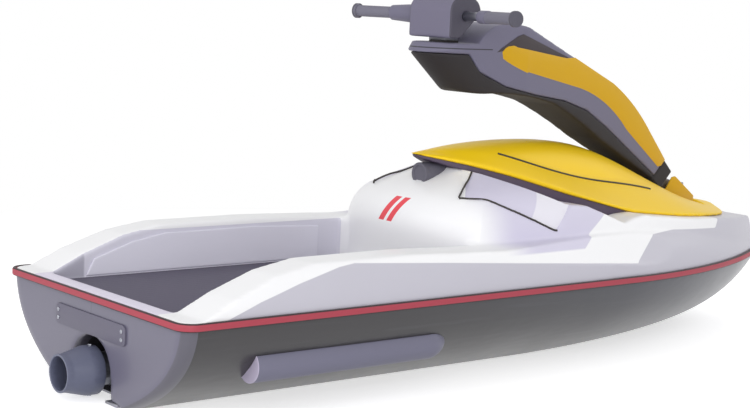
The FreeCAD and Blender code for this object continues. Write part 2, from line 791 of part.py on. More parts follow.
scoop_window = side_prism(from_bow(SCOOP), CLEAR_HALF)
scoop = feature("scoop", scoop_window.cut(cowl_loft(float(size.scoop_deep))))
sides = cut("deck_sides", fuse("deck_blank", deck_lines, liner), above_gunwale, tray_hollow,
            feature("crease_wedge", crease_wedge()))
deck = cut("deck_cut", fuse("deck_and_cowl", sides, cowl), above_lid, scoop, bay, pole_well,
           cut("hull_below", hull_lines, liner))
keep(deck, "deck")
insert_skin = cowl_loft(float(size.scoop_deep - size.scoop_trim)).cut(cowl_loft(float(size.scoop_deep)))
insert = feature("insert", insert_skin.common(scoop_window))
keep(cut("scoop_insert", insert, above_lid), "side_ducts")

# ---------------------------------------------------------------- hood, its rim and its latch
LOW_DROP = 14
RIM_DROP = 60
hood_form = feature("hood_form", hood_loft(0, LOW_DROP).common(above(hood_edge)))
keep(cut("hood_cut", hood_form, pole_well), "hood")
band = [point for point in rim_edge if point[0] >= hood_edge[1][0]]
band += [point for point in reversed(hood_edge) if hood_edge[1][0] <= point[0] < rim_edge[-1][0]]
rim_band = side_prism(band, CLEAR_HALF)
rim = feature("hood_rim", hood_loft(float(size.rim_inset), RIM_DROP).common(rim_band))
keep(rim, "hood_rim")
LATCH_REACH = 60
latch_bar = cylinder("latch_bar", size.latch_radius, zero + LATCH_REACH, bow - size.latch_back, zero,
                     size.bond_z + size.latch_rise, ALONG_X)
keep(cut("latch", latch_bar, cowl, above_lid), "hood_latch")

# ---------------------------------------------------------------- engine and drive
keep(box("engine", engine_x, engine_x + size.engine_len, size.engine_half, size.bay_floor,
         size.bay_floor + size.engine_height), "engine_block")
SHAFT_END = 22
shaft_back = size.stator_back + SHAFT_END
shaft_len = engine_x - size.seat_gap - shaft_back
keep(cylinder("shaft", size.shaft_radius, shaft_len, shaft_back, zero, size.pump_z, ALONG_X), "drive_shaft")

# ---------------------------------------------------------------- plates under the stern
ride_plate = new_body("ride_plate")
plate = rectangle(ride_plate, "XY_Plane", "plate", zero, size.duct_back, -size.plate_half, size.plate_half)
pad(ride_plate, plate, size.plate_thick)
notch = rectangle(ride_plate, "XY_Plane", "notch", zero, size.notch_len, -size.notch_half, size.notch_half)
pocket(ride_plate, notch)

GRATE_SLOTS = 4
grate = new_body("intake_grate")
frame = rectangle(grate, "XY_Plane", "grate_frame", size.duct_back, grate_end, -grate_half, grate_half)
pad(grate, frame, size.plate_thick)
slot_wide = (size.duct_half * 2 - size.grate_bar * (GRATE_SLOTS - 1)) / GRATE_SLOTS
slot = rectangle(grate, "XY_Plane", "grate_slot", size.duct_back + size.grate_rim, size.duct_front,
                 -size.duct_half, slot_wide - size.duct_half)
slot_cut = pocket(grate, slot)
slots = grate.newObject("PartDesign::LinearPattern", "grate_slots")
slots.Originals = [slot_cut]
slots.Direction = (origin_part(grate, "Y_Axis"), [""])
slots.Occurrences = GRATE_SLOTS
bind(slots, Length=size.duct_half * 2 - slot_wide)
grate.Tip = slots

# ---------------------------------------------------------------- pump: housing, stator and impeller
STATOR_VANES = 6
housing = new_body("pump_housing", z=size.pump_z)
wall = outline(housing, "XZ_Plane", "housing_wall", [
    (-size.outlet_reach, size.outlet_radius - size.pump_wall),
    (size.pump_back, size.outlet_radius - size.pump_wall),
    (size.pump_back + size.outlet_cone, throat),
    (size.pump_front, throat),
    (size.pump_front, size.pump_radius),
    (size.pump_back + size.outlet_cone, size.pump_radius),
    (size.pump_back, size.outlet_radius),
    (-size.outlet_reach, size.outlet_radius),
])
revolve(housing, wall)
stator_end = size.stator_back + size.stator_len
vane = outline(housing, "XZ_Plane", "stator_vane", [
    (size.stator_back, size.hub_radius / 2),
    (stator_end, size.hub_radius / 2),
    (stator_end, throat + size.pump_wall / 2),
    (size.stator_back, throat + size.pump_wall / 2),
])
polar(housing, pad(housing, vane, size.vane_thick, both=True), STATOR_VANES)
HUB_TIP = 4
hub = outline(housing, "XZ_Plane", "stator_hub", [
    (size.stator_back - size.hub_tail, zero),
    (stator_end, zero),
    (stator_end, size.hub_radius),
    (size.stator_back, size.hub_radius),
    (size.stator_back - size.hub_tail, zero + HUB_TIP),
])
revolve(housing, hub)
BEARING_START = 20
bearing_hole = outline(housing, "XZ_Plane", "shaft_bearing", [
    (size.stator_back + BEARING_START, zero),
    (stator_end + 1, zero),
    (stator_end + 1, size.shaft_radius + size.run_gap),
    (size.stator_back + BEARING_START, size.shaft_radius + size.run_gap),
])
revolve(housing, bearing_hole, "PartDesign::Groove")
ear_low = size.outlet_radius - size.pump_wall / 2
ear_top = size.nozzle_radius - size.nozzle_wall - size.ear_gap
ear = circle(housing, "XY_Plane", "pivot_ear", zero, zero, size.ear_radius, offset=ear_low)
ear_pad = pad(housing, ear, ear_top - ear_low)
ears = housing.newObject("PartDesign::Mirrored", "pivot_ears")
ears.Originals = [ear_pad]
ears.MirrorPlane = (origin_part(housing, "XY_Plane"), [""])
housing.Tip = ears
pocket(housing, circle(housing, "XY_Plane", "ear_hole", zero, zero, size.steer_bolt))

bolt_low = size.outlet_radius - size.pump_wall + 1
bolt_len = size.nozzle_radius + size.bolt_head - bolt_low
bolts = [cylinder("bolt_" + side, size.steer_bolt, bolt_len, zero, zero, z, UPRIGHT)
         for side, z in (("top", size.pump_z + bolt_low), ("bottom", size.pump_z - bolt_low - bolt_len))]
keep(fuse("bolts", *bolts), "nozzle_bolts")

nozzle = new_body("steering_nozzle", z=size.pump_z)
front_in = size.nozzle_radius - size.nozzle_wall
tail_in = size.tail_radius - size.nozzle_wall
cone = outline(nozzle, "XZ_Plane", "nozzle_wall", [
    (-size.nozzle_reach, tail_in),
    (size.tail_ring - size.nozzle_reach, tail_in),
    (-size.nozzle_waist, front_in),
    (size.nozzle_front, front_in),
    (size.nozzle_front, size.nozzle_radius),
    (-size.nozzle_waist, size.nozzle_radius),
    (size.tail_ring - size.nozzle_reach, size.tail_radius),
    (-size.nozzle_reach, size.tail_radius),
])
revolve(nozzle, cone)
pocket(nozzle, circle(nozzle, "XY_Plane", "bolt_bore", zero, zero, size.steer_bolt + size.run_gap))

IMPELLER_BLADES = 3
SPINNER = 24
impeller = new_body("impeller", z=size.pump_z)
impeller_end = size.impeller_back + size.impeller_len
impeller_hub = outline(impeller, "XZ_Plane", "impeller_hub", [
    (size.impeller_back, size.shaft_radius),
    (impeller_end + SPINNER, size.shaft_radius),
    (impeller_end + SPINNER, size.shaft_radius + 1),
    (impeller_end, size.hub_radius),
    (size.impeller_back, size.hub_radius),
])
revolve(impeller, impeller_hub)


def blade_section(name, chord, lean, radius):
    """A thin section across the blade at one distance from the shaft, turned by its lean."""
    sketch = outline(impeller, "XY_Plane", name, [
        (-chord / 2, -size.blade_thick / 2),
        (chord / 2, -size.blade_thick / 2),
        (chord / 2, size.blade_thick / 2),
        (-chord / 2, size.blade_thick / 2),
    ], offset=radius)
    sketch.setExpression("AttachmentOffset.Base.x", (size.impeller_back + size.impeller_len / 2).text)
    sketch.setExpression("AttachmentOffset.Rotation.Angle", lean.text)
    return sketch


tip_radius = throat - size.blade_gap
blade = impeller.newObject("PartDesign::AdditiveLoft", "impeller_blade")
BLADE_ROOT = 2
blade.Profile = blade_section("blade_root", size.blade_root_chord, size.blade_root_lean,
                              size.shaft_radius + BLADE_ROOT)
blade.Sections = [blade_section("blade_tip", size.blade_tip_chord, size.blade_tip_lean, tip_radius)]
blade.Ruled = True
impeller.Tip = blade
polar(impeller, blade, IMPELLER_BLADES)
TRIM = 40
trim = outline(impeller, "XZ_Plane", "blade_trim", [
    (size.impeller_back - TRIM, tip_radius),
    (impeller_end + TRIM, tip_radius),
    (impeller_end + TRIM, tip_radius + TRIM),
    (size.impeller_back - TRIM, tip_radius + TRIM),
])
revolve(impeller, trim, "PartDesign::Groove")

# ---------------------------------------------------------------- transom panel and bow eye
panel = new_body("transom_panel", z=size.panel_z)
face = rectangle(panel, "YZ_Plane", "panel_face", -size.panel_half, size.panel_half, zero, size.panel_height)
pad(panel, face, size.panel_thick, reverse=True)
round_edges(panel, size.panel_round, lambda a, b: abs(a.x - b.x) > 1)

EYE_ROOT = (
    # station and height from the hole: the lug's root, cut to the stem
    (5, -19),
    (-60, -8),
    (-30, 60),
    (16, 12),
)
eye_x = bow - size.eye_back
eye_ring = cylinder("eye_ring", size.eye_bore + size.eye_rim, size.eye_thick, eye_x, -size.eye_thick / 2,
                    size.eye_z, ALONG_Y)
eye_root = feature("eye_root", side_prism([(float(eye_x) + x, float(size.eye_z) + z) for x, z in EYE_ROOT],
                                          size.eye_thick / 2))
eye_hole = cylinder("eye_hole", size.eye_bore, size.eye_thick, eye_x, -size.eye_thick / 2, size.eye_z,
                    ALONG_Y)
keep(cut("eye", fuse("eye_lug", eye_ring, eye_root), eye_hole, hull_lines), "bow_eye")

# ---------------------------------------------------------------- pole bracket, its cover and the pin
BASE_BACK = 75
BASE_FRONT = 70
LUG_SIDE = (
    # forward and up from the pivot, as signs of the barrel's radius and the base
    (-30, None),
    (-18, 16),
    (18, 16),
    (34, None),
)
bracket = new_body("pole_bracket", x=pivot_x, z=pivot_z)
base = rectangle(bracket, "XZ_Plane", "bracket_base", zero - BASE_BACK, zero + BASE_FRONT,
                 -(size.bracket_drop + size.base_thick), -size.bracket_drop)
pad(bracket, base, lug_out * 2, both=True)
lug = outline(bracket, "XZ_Plane", "bracket_lug",
              [(zero + x, -size.bracket_drop if z is None else zero + z) for x, z in LUG_SIDE])
pad(bracket, lug, lug_out * 2, both=True)
fork = rectangle(bracket, "YZ_Plane", "bracket_fork", -lug_in, lug_in, -size.bracket_drop, size.bracket_drop)
pocket(bracket, fork)
pocket(bracket, circle(bracket, "XZ_Plane", "bracket_hole", zero, zero, size.pin_radius))

keep(cylinder("pin", size.pin_radius, lug_out * 2, pivot_x, -lug_out, pivot_z, ALONG_Y), "pivot_pin")

COVER_SIDE = (
    # forward and up from the pivot
    (-70, -50),
    (-68, -8),
    (-38, 33),
    (-24, 35),
    (62, -24),
    (62, -50),
)
cover = new_body("bracket_cover", x=pivot_x, z=pivot_z)
cover_side = outline(cover, "XZ_Plane", "cover_side", [(zero + x, zero + z) for x, z in COVER_SIDE])
pad(cover, cover_side, cover_out * 2, both=True)
COVER_FRONT = 52
SLOT_REACH = 100
cover_slot = rectangle(cover, "XZ_Plane", "cover_slot", zero - SLOT_REACH, zero + COVER_FRONT,
                       zero - SLOT_REACH, zero + SLOT_REACH)
slot_cut = cover.newObject("PartDesign::Pocket", "cover_slot_pocket")
slot_cut.Profile = cover_slot
slot_cut.Midplane = True
bind(slot_cut, Length=lug_out * 2)
cover.Tip = slot_cut

# ---------------------------------------------------------------- steering pole
POLE_SIDE = (
    # side profile: forward of the pivot as a share of the pole's reach, above it as a share of the
    # head's rise, and whether an arc passes through the point
    (-1.000, 0.939, False),
    (-0.985, 1.000, False),
    (-0.867, 1.000, False),
    (-0.846, 1.063, True),
    (-0.808, 1.117, False),
    (-0.753, 1.132, True),
    (-0.690, 1.112, False),
    (-0.341, 0.756, False),
    (-0.240, 0.591, True),
    (-0.170, 0.426, False),
    (-0.090, 0.216, False),
    (-0.141, 0.084, False),
    (-0.382, 0.378, False),
    (-0.473, 0.503, True),
    (-0.574, 0.617, False),
    (-0.697, 0.675, True),
    (-0.808, 0.688, False),
    (-0.934, 0.761, True),
)
FOOT_TOP = (-0.090, 0.216)
FOOT_LOW = (-0.141, 0.084)
POLE_PLAN = (
    # forward of the pivot as a share of the reach, half width as a share of the pole's width, and
    # whether an arc passes through the point
    (-0.889, 0.88, False),
    (-0.788, 0.92, True),
    (-0.675, 0.86, False),
    (-0.372, 0.65, True),
    (-0.038, 0.46, False),
)
PAD_LINE = (
    # joint between the shell above and the under pad below, as shares of the reach and the rise
    (-1.020, 0.939),
    (-0.894, 0.934),
    (-0.854, 0.825),
    (-0.766, 0.736),
    (-0.660, 0.685),
    (-0.535, 0.642),
    (-0.442, 0.576),
    (-0.354, 0.457),
    (-0.141, 0.124),
    (-0.079, -0.013),
)
STRIPE = (
    # stripe on the flank, as shares of the reach and the rise, and whether an arc passes through
    (-0.786, 0.952, False),
    (-0.776, 0.883, True),
    (-0.690, 0.830, False),
    (-0.483, 0.728, False),
    (-0.387, 0.645, True),
    (-0.271, 0.439, False),
    (-0.121, 0.170, False),
    (0.032, 0.216, False),
    (-0.271, 0.952, False),
    (-0.543, 0.921, False),
    (-0.735, 0.985, False),
    (-0.774, 0.980, True),
)
RECESS = (
    # dark recess above the stripe's head, as shares of the reach and the rise
    (-0.808, 0.949),
    (-0.786, 0.959),
    (-0.735, 0.987),
    (-0.543, 0.921),
    (-0.485, 0.888),
    (-0.715, 1.069),
    (-0.735, 1.053),
)


def at_pivot(rows):
    """Shares of the pole's reach and the head's rise as stations and heights."""
    reach = float(pole_reach)
    rise = float(size.head_rise)
    back = float(pivot_x)
    low = float(pivot_z)
    return [(back + row[0] * reach, low + row[1] * rise) + tuple(row[2:]) for row in rows]


def head_tip(inset, lean):
    """Everything forward of a round tip that leans forward, by degrees, below the head's rearmost point."""
    half = float(size.pole_width) * POLE_PLAN[0][1] - inset
    ahead = float(size.hull_len)
    face = Part.Face(Part.Wire([
        arc(vec(half, -half, 0), vec(0, 0, 0), vec(half, half, 0)),
        line(vec(half, half, 0), vec(ahead, half, 0)),
        line(vec(ahead, half, 0), vec(ahead, -half, 0)),
        line(vec(ahead, -half, 0), vec(half, -half, 0)),
    ]))
    axis = vec(math.sin(math.radians(lean)), 0, -math.cos(math.radians(lean)))
    face.rotate(vec(0, 0, 0), vec(0, 1, 0), -lean)
    tip_z = pivot_z + size.head_rise * POLE_SIDE[0][1]
    face.translate(vec(pivot_x - pole_reach, 0, tip_z) + vec(inset, 0, 0) - axis * CLEAR_Z)
    return face.extrude(axis * (2 * CLEAR_Z))


def pole_form(inset):
    """Side profile across the boat within the plan outline, narrower by inset on each side."""
    profile = side_prism(at_pivot(POLE_SIDE), float(size.pole_width) + 20)
    px = float(pivot_x)
    reach = float(pole_reach)
    wide = float(size.pole_width)
    left = [(vec(px + x * reach, half * wide - inset, 0), bend) for x, half, bend in POLE_PLAN]
    right = [(vec(px + x * reach, inset - half * wide, 0), bend) for x, half, bend in reversed(POLE_PLAN)]
    back_x = px - 2 * reach
    back = [(vec(back_x, inset - wide, 0), False), (vec(back_x, wide - inset, 0), False)]
    outline_prism = plan_prism(route(left + right + back), 0, CLEAR_Z)
    tip = head_tip(inset, float(size.tip_lean)).common(head_tip(inset, -float(size.rim_lean)))
    return profile.common(outline_prism).common(tip)


pole_blank = pole_form(0)
below_line = side_prism(at_pivot(PAD_LINE) + [(float(pivot_x) + PAD_LINE[-1][0], 0),
                                              (float(pivot_x) + PAD_LINE[0][0], 0)], CLEAR_HALF)
skin = pole_blank.cut(pole_form(float(size.inlay_deep)))
stripe_window = side_prism(at_pivot(STRIPE), CLEAR_HALF)
recess_window = side_prism(at_pivot(RECESS), CLEAR_HALF)
stripe_skin = feature("stripe_skin", skin.common(stripe_window).cut(below_line))
recess_skin = feature("recess_skin", skin.common(recess_window).cut(stripe_window))
bearing_seat = cylinder("bearing_seat", size.bearing_radius, size.stem_deep, steer_x, zero,
                        head_z - size.stem_deep)
shell_blank = feature("shell_blank", pole_blank.cut(below_line))
keep(cut("shell", shell_blank, stripe_skin, recess_skin, bearing_seat), "pole_shell")
keep(cut("underpad", feature("pad_blank", pole_blank.common(below_line)), bearing_seat), "pole_underpad")
keep(stripe_skin, "pole_stripes")
keep(recess_skin, "pole_recess")

foot_top = (pole_reach * FOOT_TOP[0], size.head_rise * FOOT_TOP[1])
foot_low = (pole_reach * FOOT_LOW[0], size.head_rise * FOOT_LOW[1])
foot_dx = float(foot_top[0]) - float(foot_low[0])
foot_dz = float(foot_top[1]) - float(foot_low[1])
foot_wide = math.hypot(foot_dx, foot_dz)
along = (foot_dz / foot_wide, -foot_dx / foot_wide)


def collar_corner(point, share):
    """A corner of the collar: a point of the pole's foot moved along the pole."""
    return (point[0] + size.collar_len * (along[0] * share), point[1] + size.collar_len * (along[1] * share))


collar = new_body("pole_collar", x=pivot_x, z=pivot_z)
collar_side = outline(collar, "XZ_Plane", "collar_side", [
    collar_corner(foot_top, 0),
    collar_corner(foot_low, 0),
    collar_corner(foot_low, 1),
    collar_corner(foot_top, 1),
])
pad(collar, collar_side, size.collar_half * 2, both=True)
round_edges(collar, size.collar_round, lambda a, b: abs(a.y) > 30 and abs(a.y - b.y) < 1)

# The foot's tongue leaves the middle of the collar's end and carries the barrel at the pivot.
end_low = collar_corner(foot_low, 1)
end_top = collar_corner(foot_top, 1)
end_mid = ((end_low[0] + end_top[0]) / 2, (end_low[1] + end_top[1]) / 2)
side_x = size.foot_height * (along[1] / 2)
side_z = size.foot_height * (along[0] / 2)
foot = new_body("pole_foot", x=pivot_x, z=pivot_z)
tongue = outline(foot, "XZ_Plane", "foot_tongue", [
    (end_mid[0] - side_x, end_mid[1] + side_z),
    (end_mid[0] + side_x, end_mid[1] - side_z),
    (side_x, -side_z),
    (-side_x, side_z),
])
pad(foot, tongue, size.foot_half * 2, both=True)
barrel = circle(foot, "XZ_Plane", "foot_barrel", zero, zero, size.barrel_radius)
pad(foot, barrel, size.foot_half * 2, both=True)
pocket(foot, circle(foot, "XZ_Plane", "foot_bore", zero, zero, size.pin_radius + size.run_gap))

# ---------------------------------------------------------------- steering bearing and handlebar
bearing = new_body("steering_bearing", x=steer_x, z=head_z)
pad(bearing, circle(bearing, "XY_Plane", "bearing_sleeve", zero, zero, size.bearing_radius), size.stem_deep,
    reverse=True)
pad(bearing, circle(bearing, "XY_Plane", "bearing_flange", zero, zero, size.flange_radius), size.flange_thick)
pocket(bearing, circle(bearing, "XY_Plane", "bearing_bore", zero, zero, size.stem_radius + size.run_gap))

CLAMP_BACK = 22
mount = new_body("bar_mount", x=steer_x, z=bar_z)
clamp_radius = size.bar_radius + size.clamp_wall
block = rectangle(mount, "XZ_Plane", "mount_block", zero - CLAMP_BACK, zero + CLAMP_BACK, mount_low - bar_z,
                  zero)
pad(mount, block, size.clamp_half * 2, both=True)
ring = circle(mount, "XZ_Plane", "mount_ring", zero, zero, clamp_radius)
pad(mount, ring, size.clamp_half * 2, both=True)
stem = circle(mount, "XY_Plane", "mount_stem", zero, zero, size.stem_radius, offset=mount_low - bar_z)
pad(mount, stem, size.stem_deep + size.flange_thick + size.seat_gap - size.stem_gap, reverse=True)
pocket(mount, circle(mount, "XZ_Plane", "mount_bore", zero, zero, size.bar_radius))

bar_lean = math.atan2(float(size.bar_sweep), float(size.bar_half - size.bend_half))


def bar_route(y_side):
    """The handlebar's bend on one side: where it starts, its middle and its end."""
    corner = vec(steer_x, y_side * float(size.bend_half), bar_z)
    inner = vec(0, -y_side, 0)
    outer = vec(-math.sin(bar_lean), y_side * math.cos(bar_lean), 0)
    reach = float(size.bend_radius) * math.tan(bar_lean / 2)
    inward = (inner + outer).normalize()
    middle = corner + inward * (float(size.bend_radius) * (1 / math.cos(bar_lean / 2) - 1))
    return corner + inner * reach, middle, corner + outer * reach


def bar_solid(radius):
    """The handlebar's centre line swept with a round of one radius."""
    ends = [vec(steer_x - size.bar_sweep, side * float(size.bar_half), bar_z) for side in (-1, 1)]
    right_in, right_mid, right_out = bar_route(-1)
    left_in, left_mid, left_out = bar_route(1)
    spine = Part.Wire([
        line(ends[0], right_out),
        arc(right_out, right_mid, right_in),
        line(right_in, left_in),
        arc(left_in, left_mid, left_out),
        line(left_out, ends[1]),
    ])
    ring = Part.Wire(Part.makeCircle(float(radius), ends[0], right_out - ends[0]))
    return spine.makePipeShell([ring], True, True)


bar_rod = feature("bar_rod", bar_solid(size.bar_radius))
bar_void = feature("bar_void", bar_solid(size.bar_radius - size.bar_wall))
keep(cut("bar_tube", bar_rod, bar_void), "handlebar_tube")

ARCH_SHARE = 0.7
NOTCH_X = -15
NOTCH_SHARE = 0.76
TOP_SHARE = 0.92
cover_low = head_z + size.flange_thick + size.free_gap - bar_z
cover_top = size.pad_radius * TOP_SHARE
bar_cover = new_body("bar_cover", x=steer_x, z=bar_z)
arch = outline(bar_cover, "XZ_Plane", "cover_arch", [
    (-size.pad_radius, cover_low),
    (zero + NOTCH_X, cover_low),
    (size.pad_radius, cover_top - size.pad_radius * NOTCH_SHARE),
    (size.pad_radius, cover_top),
    (-size.pad_radius, cover_top),
])
pad(bar_cover, arch, size.pad_half * 2, both=True)
round_edges(bar_cover, size.pad_radius * ARCH_SHARE,
            lambda a, b: min(a.z, b.z) > float(cover_top) - 1 and abs(a.y - b.y) > 1)
mount_space = outline(bar_cover, "XZ_Plane", "mount_space", [
    (zero - CLAMP_BACK, cover_low), (zero + CLAMP_BACK, cover_low), (zero + CLAMP_BACK, clamp_radius),
    (zero - CLAMP_BACK, clamp_radius)])
space_cut = bar_cover.newObject("PartDesign::Pocket", "mount_space_pocket")
space_cut.Profile = mount_space
space_cut.Midplane = True
bind(space_cut, Length=size.clamp_half * 2)
bar_cover.Tip = space_cut
pocket(bar_cover, circle(bar_cover, "XZ_Plane", "cover_bore", zero, zero, size.bar_radius))


def arm_turn(side):
    """Turns a piece so that its Y axis runs along one arm of the handlebar."""
    return FreeCAD.Rotation(vec(0, 0, 1), side * math.degrees(bar_lean))


def on_arm(label, side):
    """A body whose origin lies at one end of the handlebar and whose Y axis runs along that arm."""
    body = new_body(label)
    return place(body, steer_x - size.bar_sweep, size.bar_half * side, bar_z, arm_turn(side))


for label, side in (("grip_left", 1), ("grip_right", -1)):
    grip = on_arm(label, side)
    profile = [
        (-size.grip_len, size.bar_radius),
        (zero, size.bar_radius),
        (zero, zero),
        (size.cap_end, zero),
        (size.cap_end, size.grip_cap),
        (size.cap_end - size.cap_len, size.grip_cap),
        (size.cap_end - size.cap_len, size.grip_radius),
        (-size.grip_len, size.grip_radius),
    ]
    corners = [(along_bar if side > 0 else -along_bar, radius) for along_bar, radius in profile]
    revolve(grip, outline(grip, "YZ_Plane", label + "_wall", corners))

arm_len = math.hypot(float(size.bar_sweep), float(size.bar_half - size.bend_half))
switch_cone = doc.addObject("Part::Cone", "switch_cone")
switch_len = zero + arm_len - size.grip_len + size.switch_root
bind(switch_cone, Radius1=size.switch_root, Radius2=size.switch_tip, Height=switch_len)
along_arm = arm_turn(1).multiply(ALONG_Y)
start = switch_len + size.grip_len
place(switch_cone, steer_x - size.bar_sweep + start * math.sin(bar_lean),
      size.bar_half - start * math.cos(bar_lean), bar_z, along_arm)
cover_side = box("switch_limit", steer_x - size.bar_half, steer_x + size.bar_half, size.pad_half, zero,
                 zero + 2 * CLEAR_Z)
keep(cut("switch", switch_cone, bar_rod, cover_side), "switch_housing")

throttle = on_arm("throttle_housing", -1)
throttle_end = size.grip_len + size.throttle_len
revolve(throttle, outline(throttle, "YZ_Plane", "throttle_ring", [
    (size.grip_len, size.bar_radius),
    (throttle_end, size.bar_radius),
    (throttle_end, size.throttle_radius),
    (size.grip_len, size.throttle_radius),
]))
BOSS_HALF = 9
BOSS_ROOT = 2
boss = rectangle(throttle, "XY_Plane", "throttle_boss", size.bar_radius + BOSS_ROOT, size.throttle_reach,
                 size.grip_len, throttle_end)
pad(throttle, boss, zero + 2 * BOSS_HALF, both=True)

LEVER_BOW = 12
lever = on_arm("throttle_lever", -1)
lever_in = throttle_end - size.throttle_len / 2
lever_plan = outline(lever, "XY_Plane", "lever_plan", [
    (size.throttle_reach, lever_in),
    (size.throttle_reach + size.lever_thick, lever_in),
    (size.throttle_reach + size.lever_thick + LEVER_BOW, lever_in - size.lever_len / 2),
    (size.throttle_reach + size.lever_thick, lever_in - size.lever_len),
    (size.throttle_reach, lever_in - size.lever_len),
    (size.throttle_reach + LEVER_BOW, lever_in - size.lever_len / 2),
])
pad(lever, lever_plan, size.lever_half * 2, both=True)

# ---------------------------------------------------------------- check and write
doc.recompute()
for obj in doc.Objects:
    if "Invalid" in obj.State or "Error" in obj.State:
        raise RuntimeError("%s did not recompute: %s" % (obj.Label, obj.State))
for obj in nodes:
    if obj.Shape.isNull() or not obj.Shape.isValid():
        raise RuntimeError("%s has no valid shape" % obj.Label)
for obj in nodes:
    obj.Shape.exportStep("parts/%s.step" % obj.Label)
    print("%-18s solids %d volume %8.0f cm3" % (obj.Label, len(obj.Shape.Solids), obj.Shape.Volume / 1000))
print("nodes", len(nodes))
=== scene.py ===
# %% [markdown]
# A stand-up personal watercraft is a decked hull with an open tray at the back, a cowl and hood over
# the engine in front of the tray, and a steering pole hinged near the bow.  The solid model gives
# every piece its place and size.  Here each visible piece gets the edges, the seams and the finish
# of the real one: glossy gelcoat, black rubber, closed-cell foam and cast metal.

# %% Load the solid model
import json
import math

import bpy
from mathutils import Matrix, Vector
from mathutils.geometry import interpolate_bezier


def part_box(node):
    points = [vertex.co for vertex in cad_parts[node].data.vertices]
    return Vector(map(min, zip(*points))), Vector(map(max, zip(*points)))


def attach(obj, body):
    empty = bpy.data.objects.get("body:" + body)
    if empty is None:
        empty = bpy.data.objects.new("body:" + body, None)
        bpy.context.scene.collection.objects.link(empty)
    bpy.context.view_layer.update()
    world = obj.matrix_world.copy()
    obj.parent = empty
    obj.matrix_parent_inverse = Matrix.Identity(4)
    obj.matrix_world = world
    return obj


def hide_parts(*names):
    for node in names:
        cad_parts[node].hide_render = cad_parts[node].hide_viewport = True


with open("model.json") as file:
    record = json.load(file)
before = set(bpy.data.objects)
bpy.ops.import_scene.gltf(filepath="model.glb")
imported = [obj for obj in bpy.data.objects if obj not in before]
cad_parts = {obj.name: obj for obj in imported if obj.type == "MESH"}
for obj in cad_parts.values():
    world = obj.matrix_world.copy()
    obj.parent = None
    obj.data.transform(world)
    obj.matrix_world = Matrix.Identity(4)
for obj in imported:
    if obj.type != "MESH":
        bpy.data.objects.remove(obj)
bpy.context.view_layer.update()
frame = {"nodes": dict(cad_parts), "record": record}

print("nodes", len(frame["nodes"]))

# %% [markdown]
# Places are worked out from the solid model's own pieces.  The rub rail gives the height of the bond
# line where hull and deck are glued together, and the tray mat the half width of the tray.  A place
# along the craft is called a station: its distance from the transom, in millimetres.

# %% Places on the watercraft
def corners(node):
    """Lowest and highest corner of a solid piece, as two vectors."""
    low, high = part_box(node)
    return Vector(low), Vector(high)


hull_low, hull_high = corners("hull")
rail_low, rail_high = corners("rub_rail")
tray_edge = corners("tray_mat")[1].y
transom = hull_low.x
bond = (rail_low.z + rail_high.z) / 2


def station(distance):
    """X of a place given by its distance from the transom in millimetres."""
    return transom + distance / 1000


def place_at(distance, side, height):
    """A place given by its station, its distance to port and its height, all in millimetres."""
    return Vector((station(distance), side / 1000, height / 1000))


print("transom %.3f  bond line %.3f  half beam %.3f" % (transom, bond, hull_high.y))

# %% [markdown]
# The camera comes first, so that each step can be looked at from the same place.  It stands behind
# and to starboard of the stern, a little above the deck, with a long lens, and leans slightly.

# %% Camera
CAMERA_PLACE = Vector((-2.7595, -2.965, 0.87))
CAMERA_YAW = 50.27
CAMERA_PITCH = -7.2
CAMERA_ROLL = 2.7
LENS = 76.8


def aim(yaw, pitch, roll):
    """Rotation of a camera that looks along yaw and pitch and leans by roll, in degrees."""
    yaw, pitch, roll = (math.radians(angle) for angle in (yaw, pitch, roll))
    ahead = Vector((math.cos(pitch) * math.cos(yaw), math.cos(pitch) * math.sin(yaw), math.sin(pitch)))
    side = ahead.cross(Vector((0, 0, 1))).normalized()
    up = side.cross(ahead)
    right = side * math.cos(roll) + up * math.sin(roll)
    top = up * math.cos(roll) - side * math.sin(roll)
    return Matrix((right, top, -ahead)).transposed()


lens = bpy.data.cameras.new("studio_camera")
lens.lens = LENS
lens.clip_end = 50
camera = bpy.data.objects.new("studio_camera", lens)
bpy.context.collection.objects.link(camera)
turn = aim(CAMERA_YAW, CAMERA_PITCH, CAMERA_ROLL)
camera.matrix_world = Matrix.Translation(CAMERA_PLACE) @ turn.to_4x4()
bpy.context.scene.camera = camera
print("camera at", tuple(round(value, 2) for value in CAMERA_PLACE))

# %% [markdown]
# Soft studio light comes from large lamps, because small ones draw hard shadows and bright dots on
# gelcoat.  The world adds the plain light of a white room.  The view transform is Standard, so that
# a colour comes out about as it is written.

# %% Studio light
bpy.context.scene.view_settings.view_transform = "Standard"
ROOM_LIGHT = 0.58
LAMPS = (
    # name, place, size in metres, watts
    ("lamp_key", (-3.4, -4.2, 1.5), 3.4, 110),
    ("lamp_fill", (-4.4, 0.6, 1.6), 3.0, 44),
    ("lamp_bow", (3.2, -1.4, 2.6), 2.6, 22),
)
AIM_POINT = Vector((0, 0, 0.3))

world = bpy.data.worlds.new("white_room")
bpy.context.scene.world = world
world.use_nodes = True
room = world.node_tree.nodes
room["Background"].inputs["Strength"].default_value = ROOM_LIGHT
white_back = room.new("ShaderNodeBackground")
ray_kind = room.new("ShaderNodeLightPath")
see_white = room.new("ShaderNodeMixShader")
either = room.new("ShaderNodeMath")
either.operation = "MAXIMUM"
any_sight = room.new("ShaderNodeMath")
any_sight.operation = "MAXIMUM"
links = world.node_tree.links
links.new(ray_kind.outputs["Is Camera Ray"], either.inputs[0])
links.new(ray_kind.outputs["Is Glossy Ray"], either.inputs[1])
links.new(either.outputs[0], any_sight.inputs[0])
links.new(ray_kind.outputs["Is Transmission Ray"], any_sight.inputs[1])
links.new(any_sight.outputs[0], see_white.inputs[0])
links.new(room["Background"].outputs[0], see_white.inputs[1])
links.new(white_back.outputs[0], see_white.inputs[2])
links.new(see_white.outputs[0], room["World Output"].inputs["Surface"])
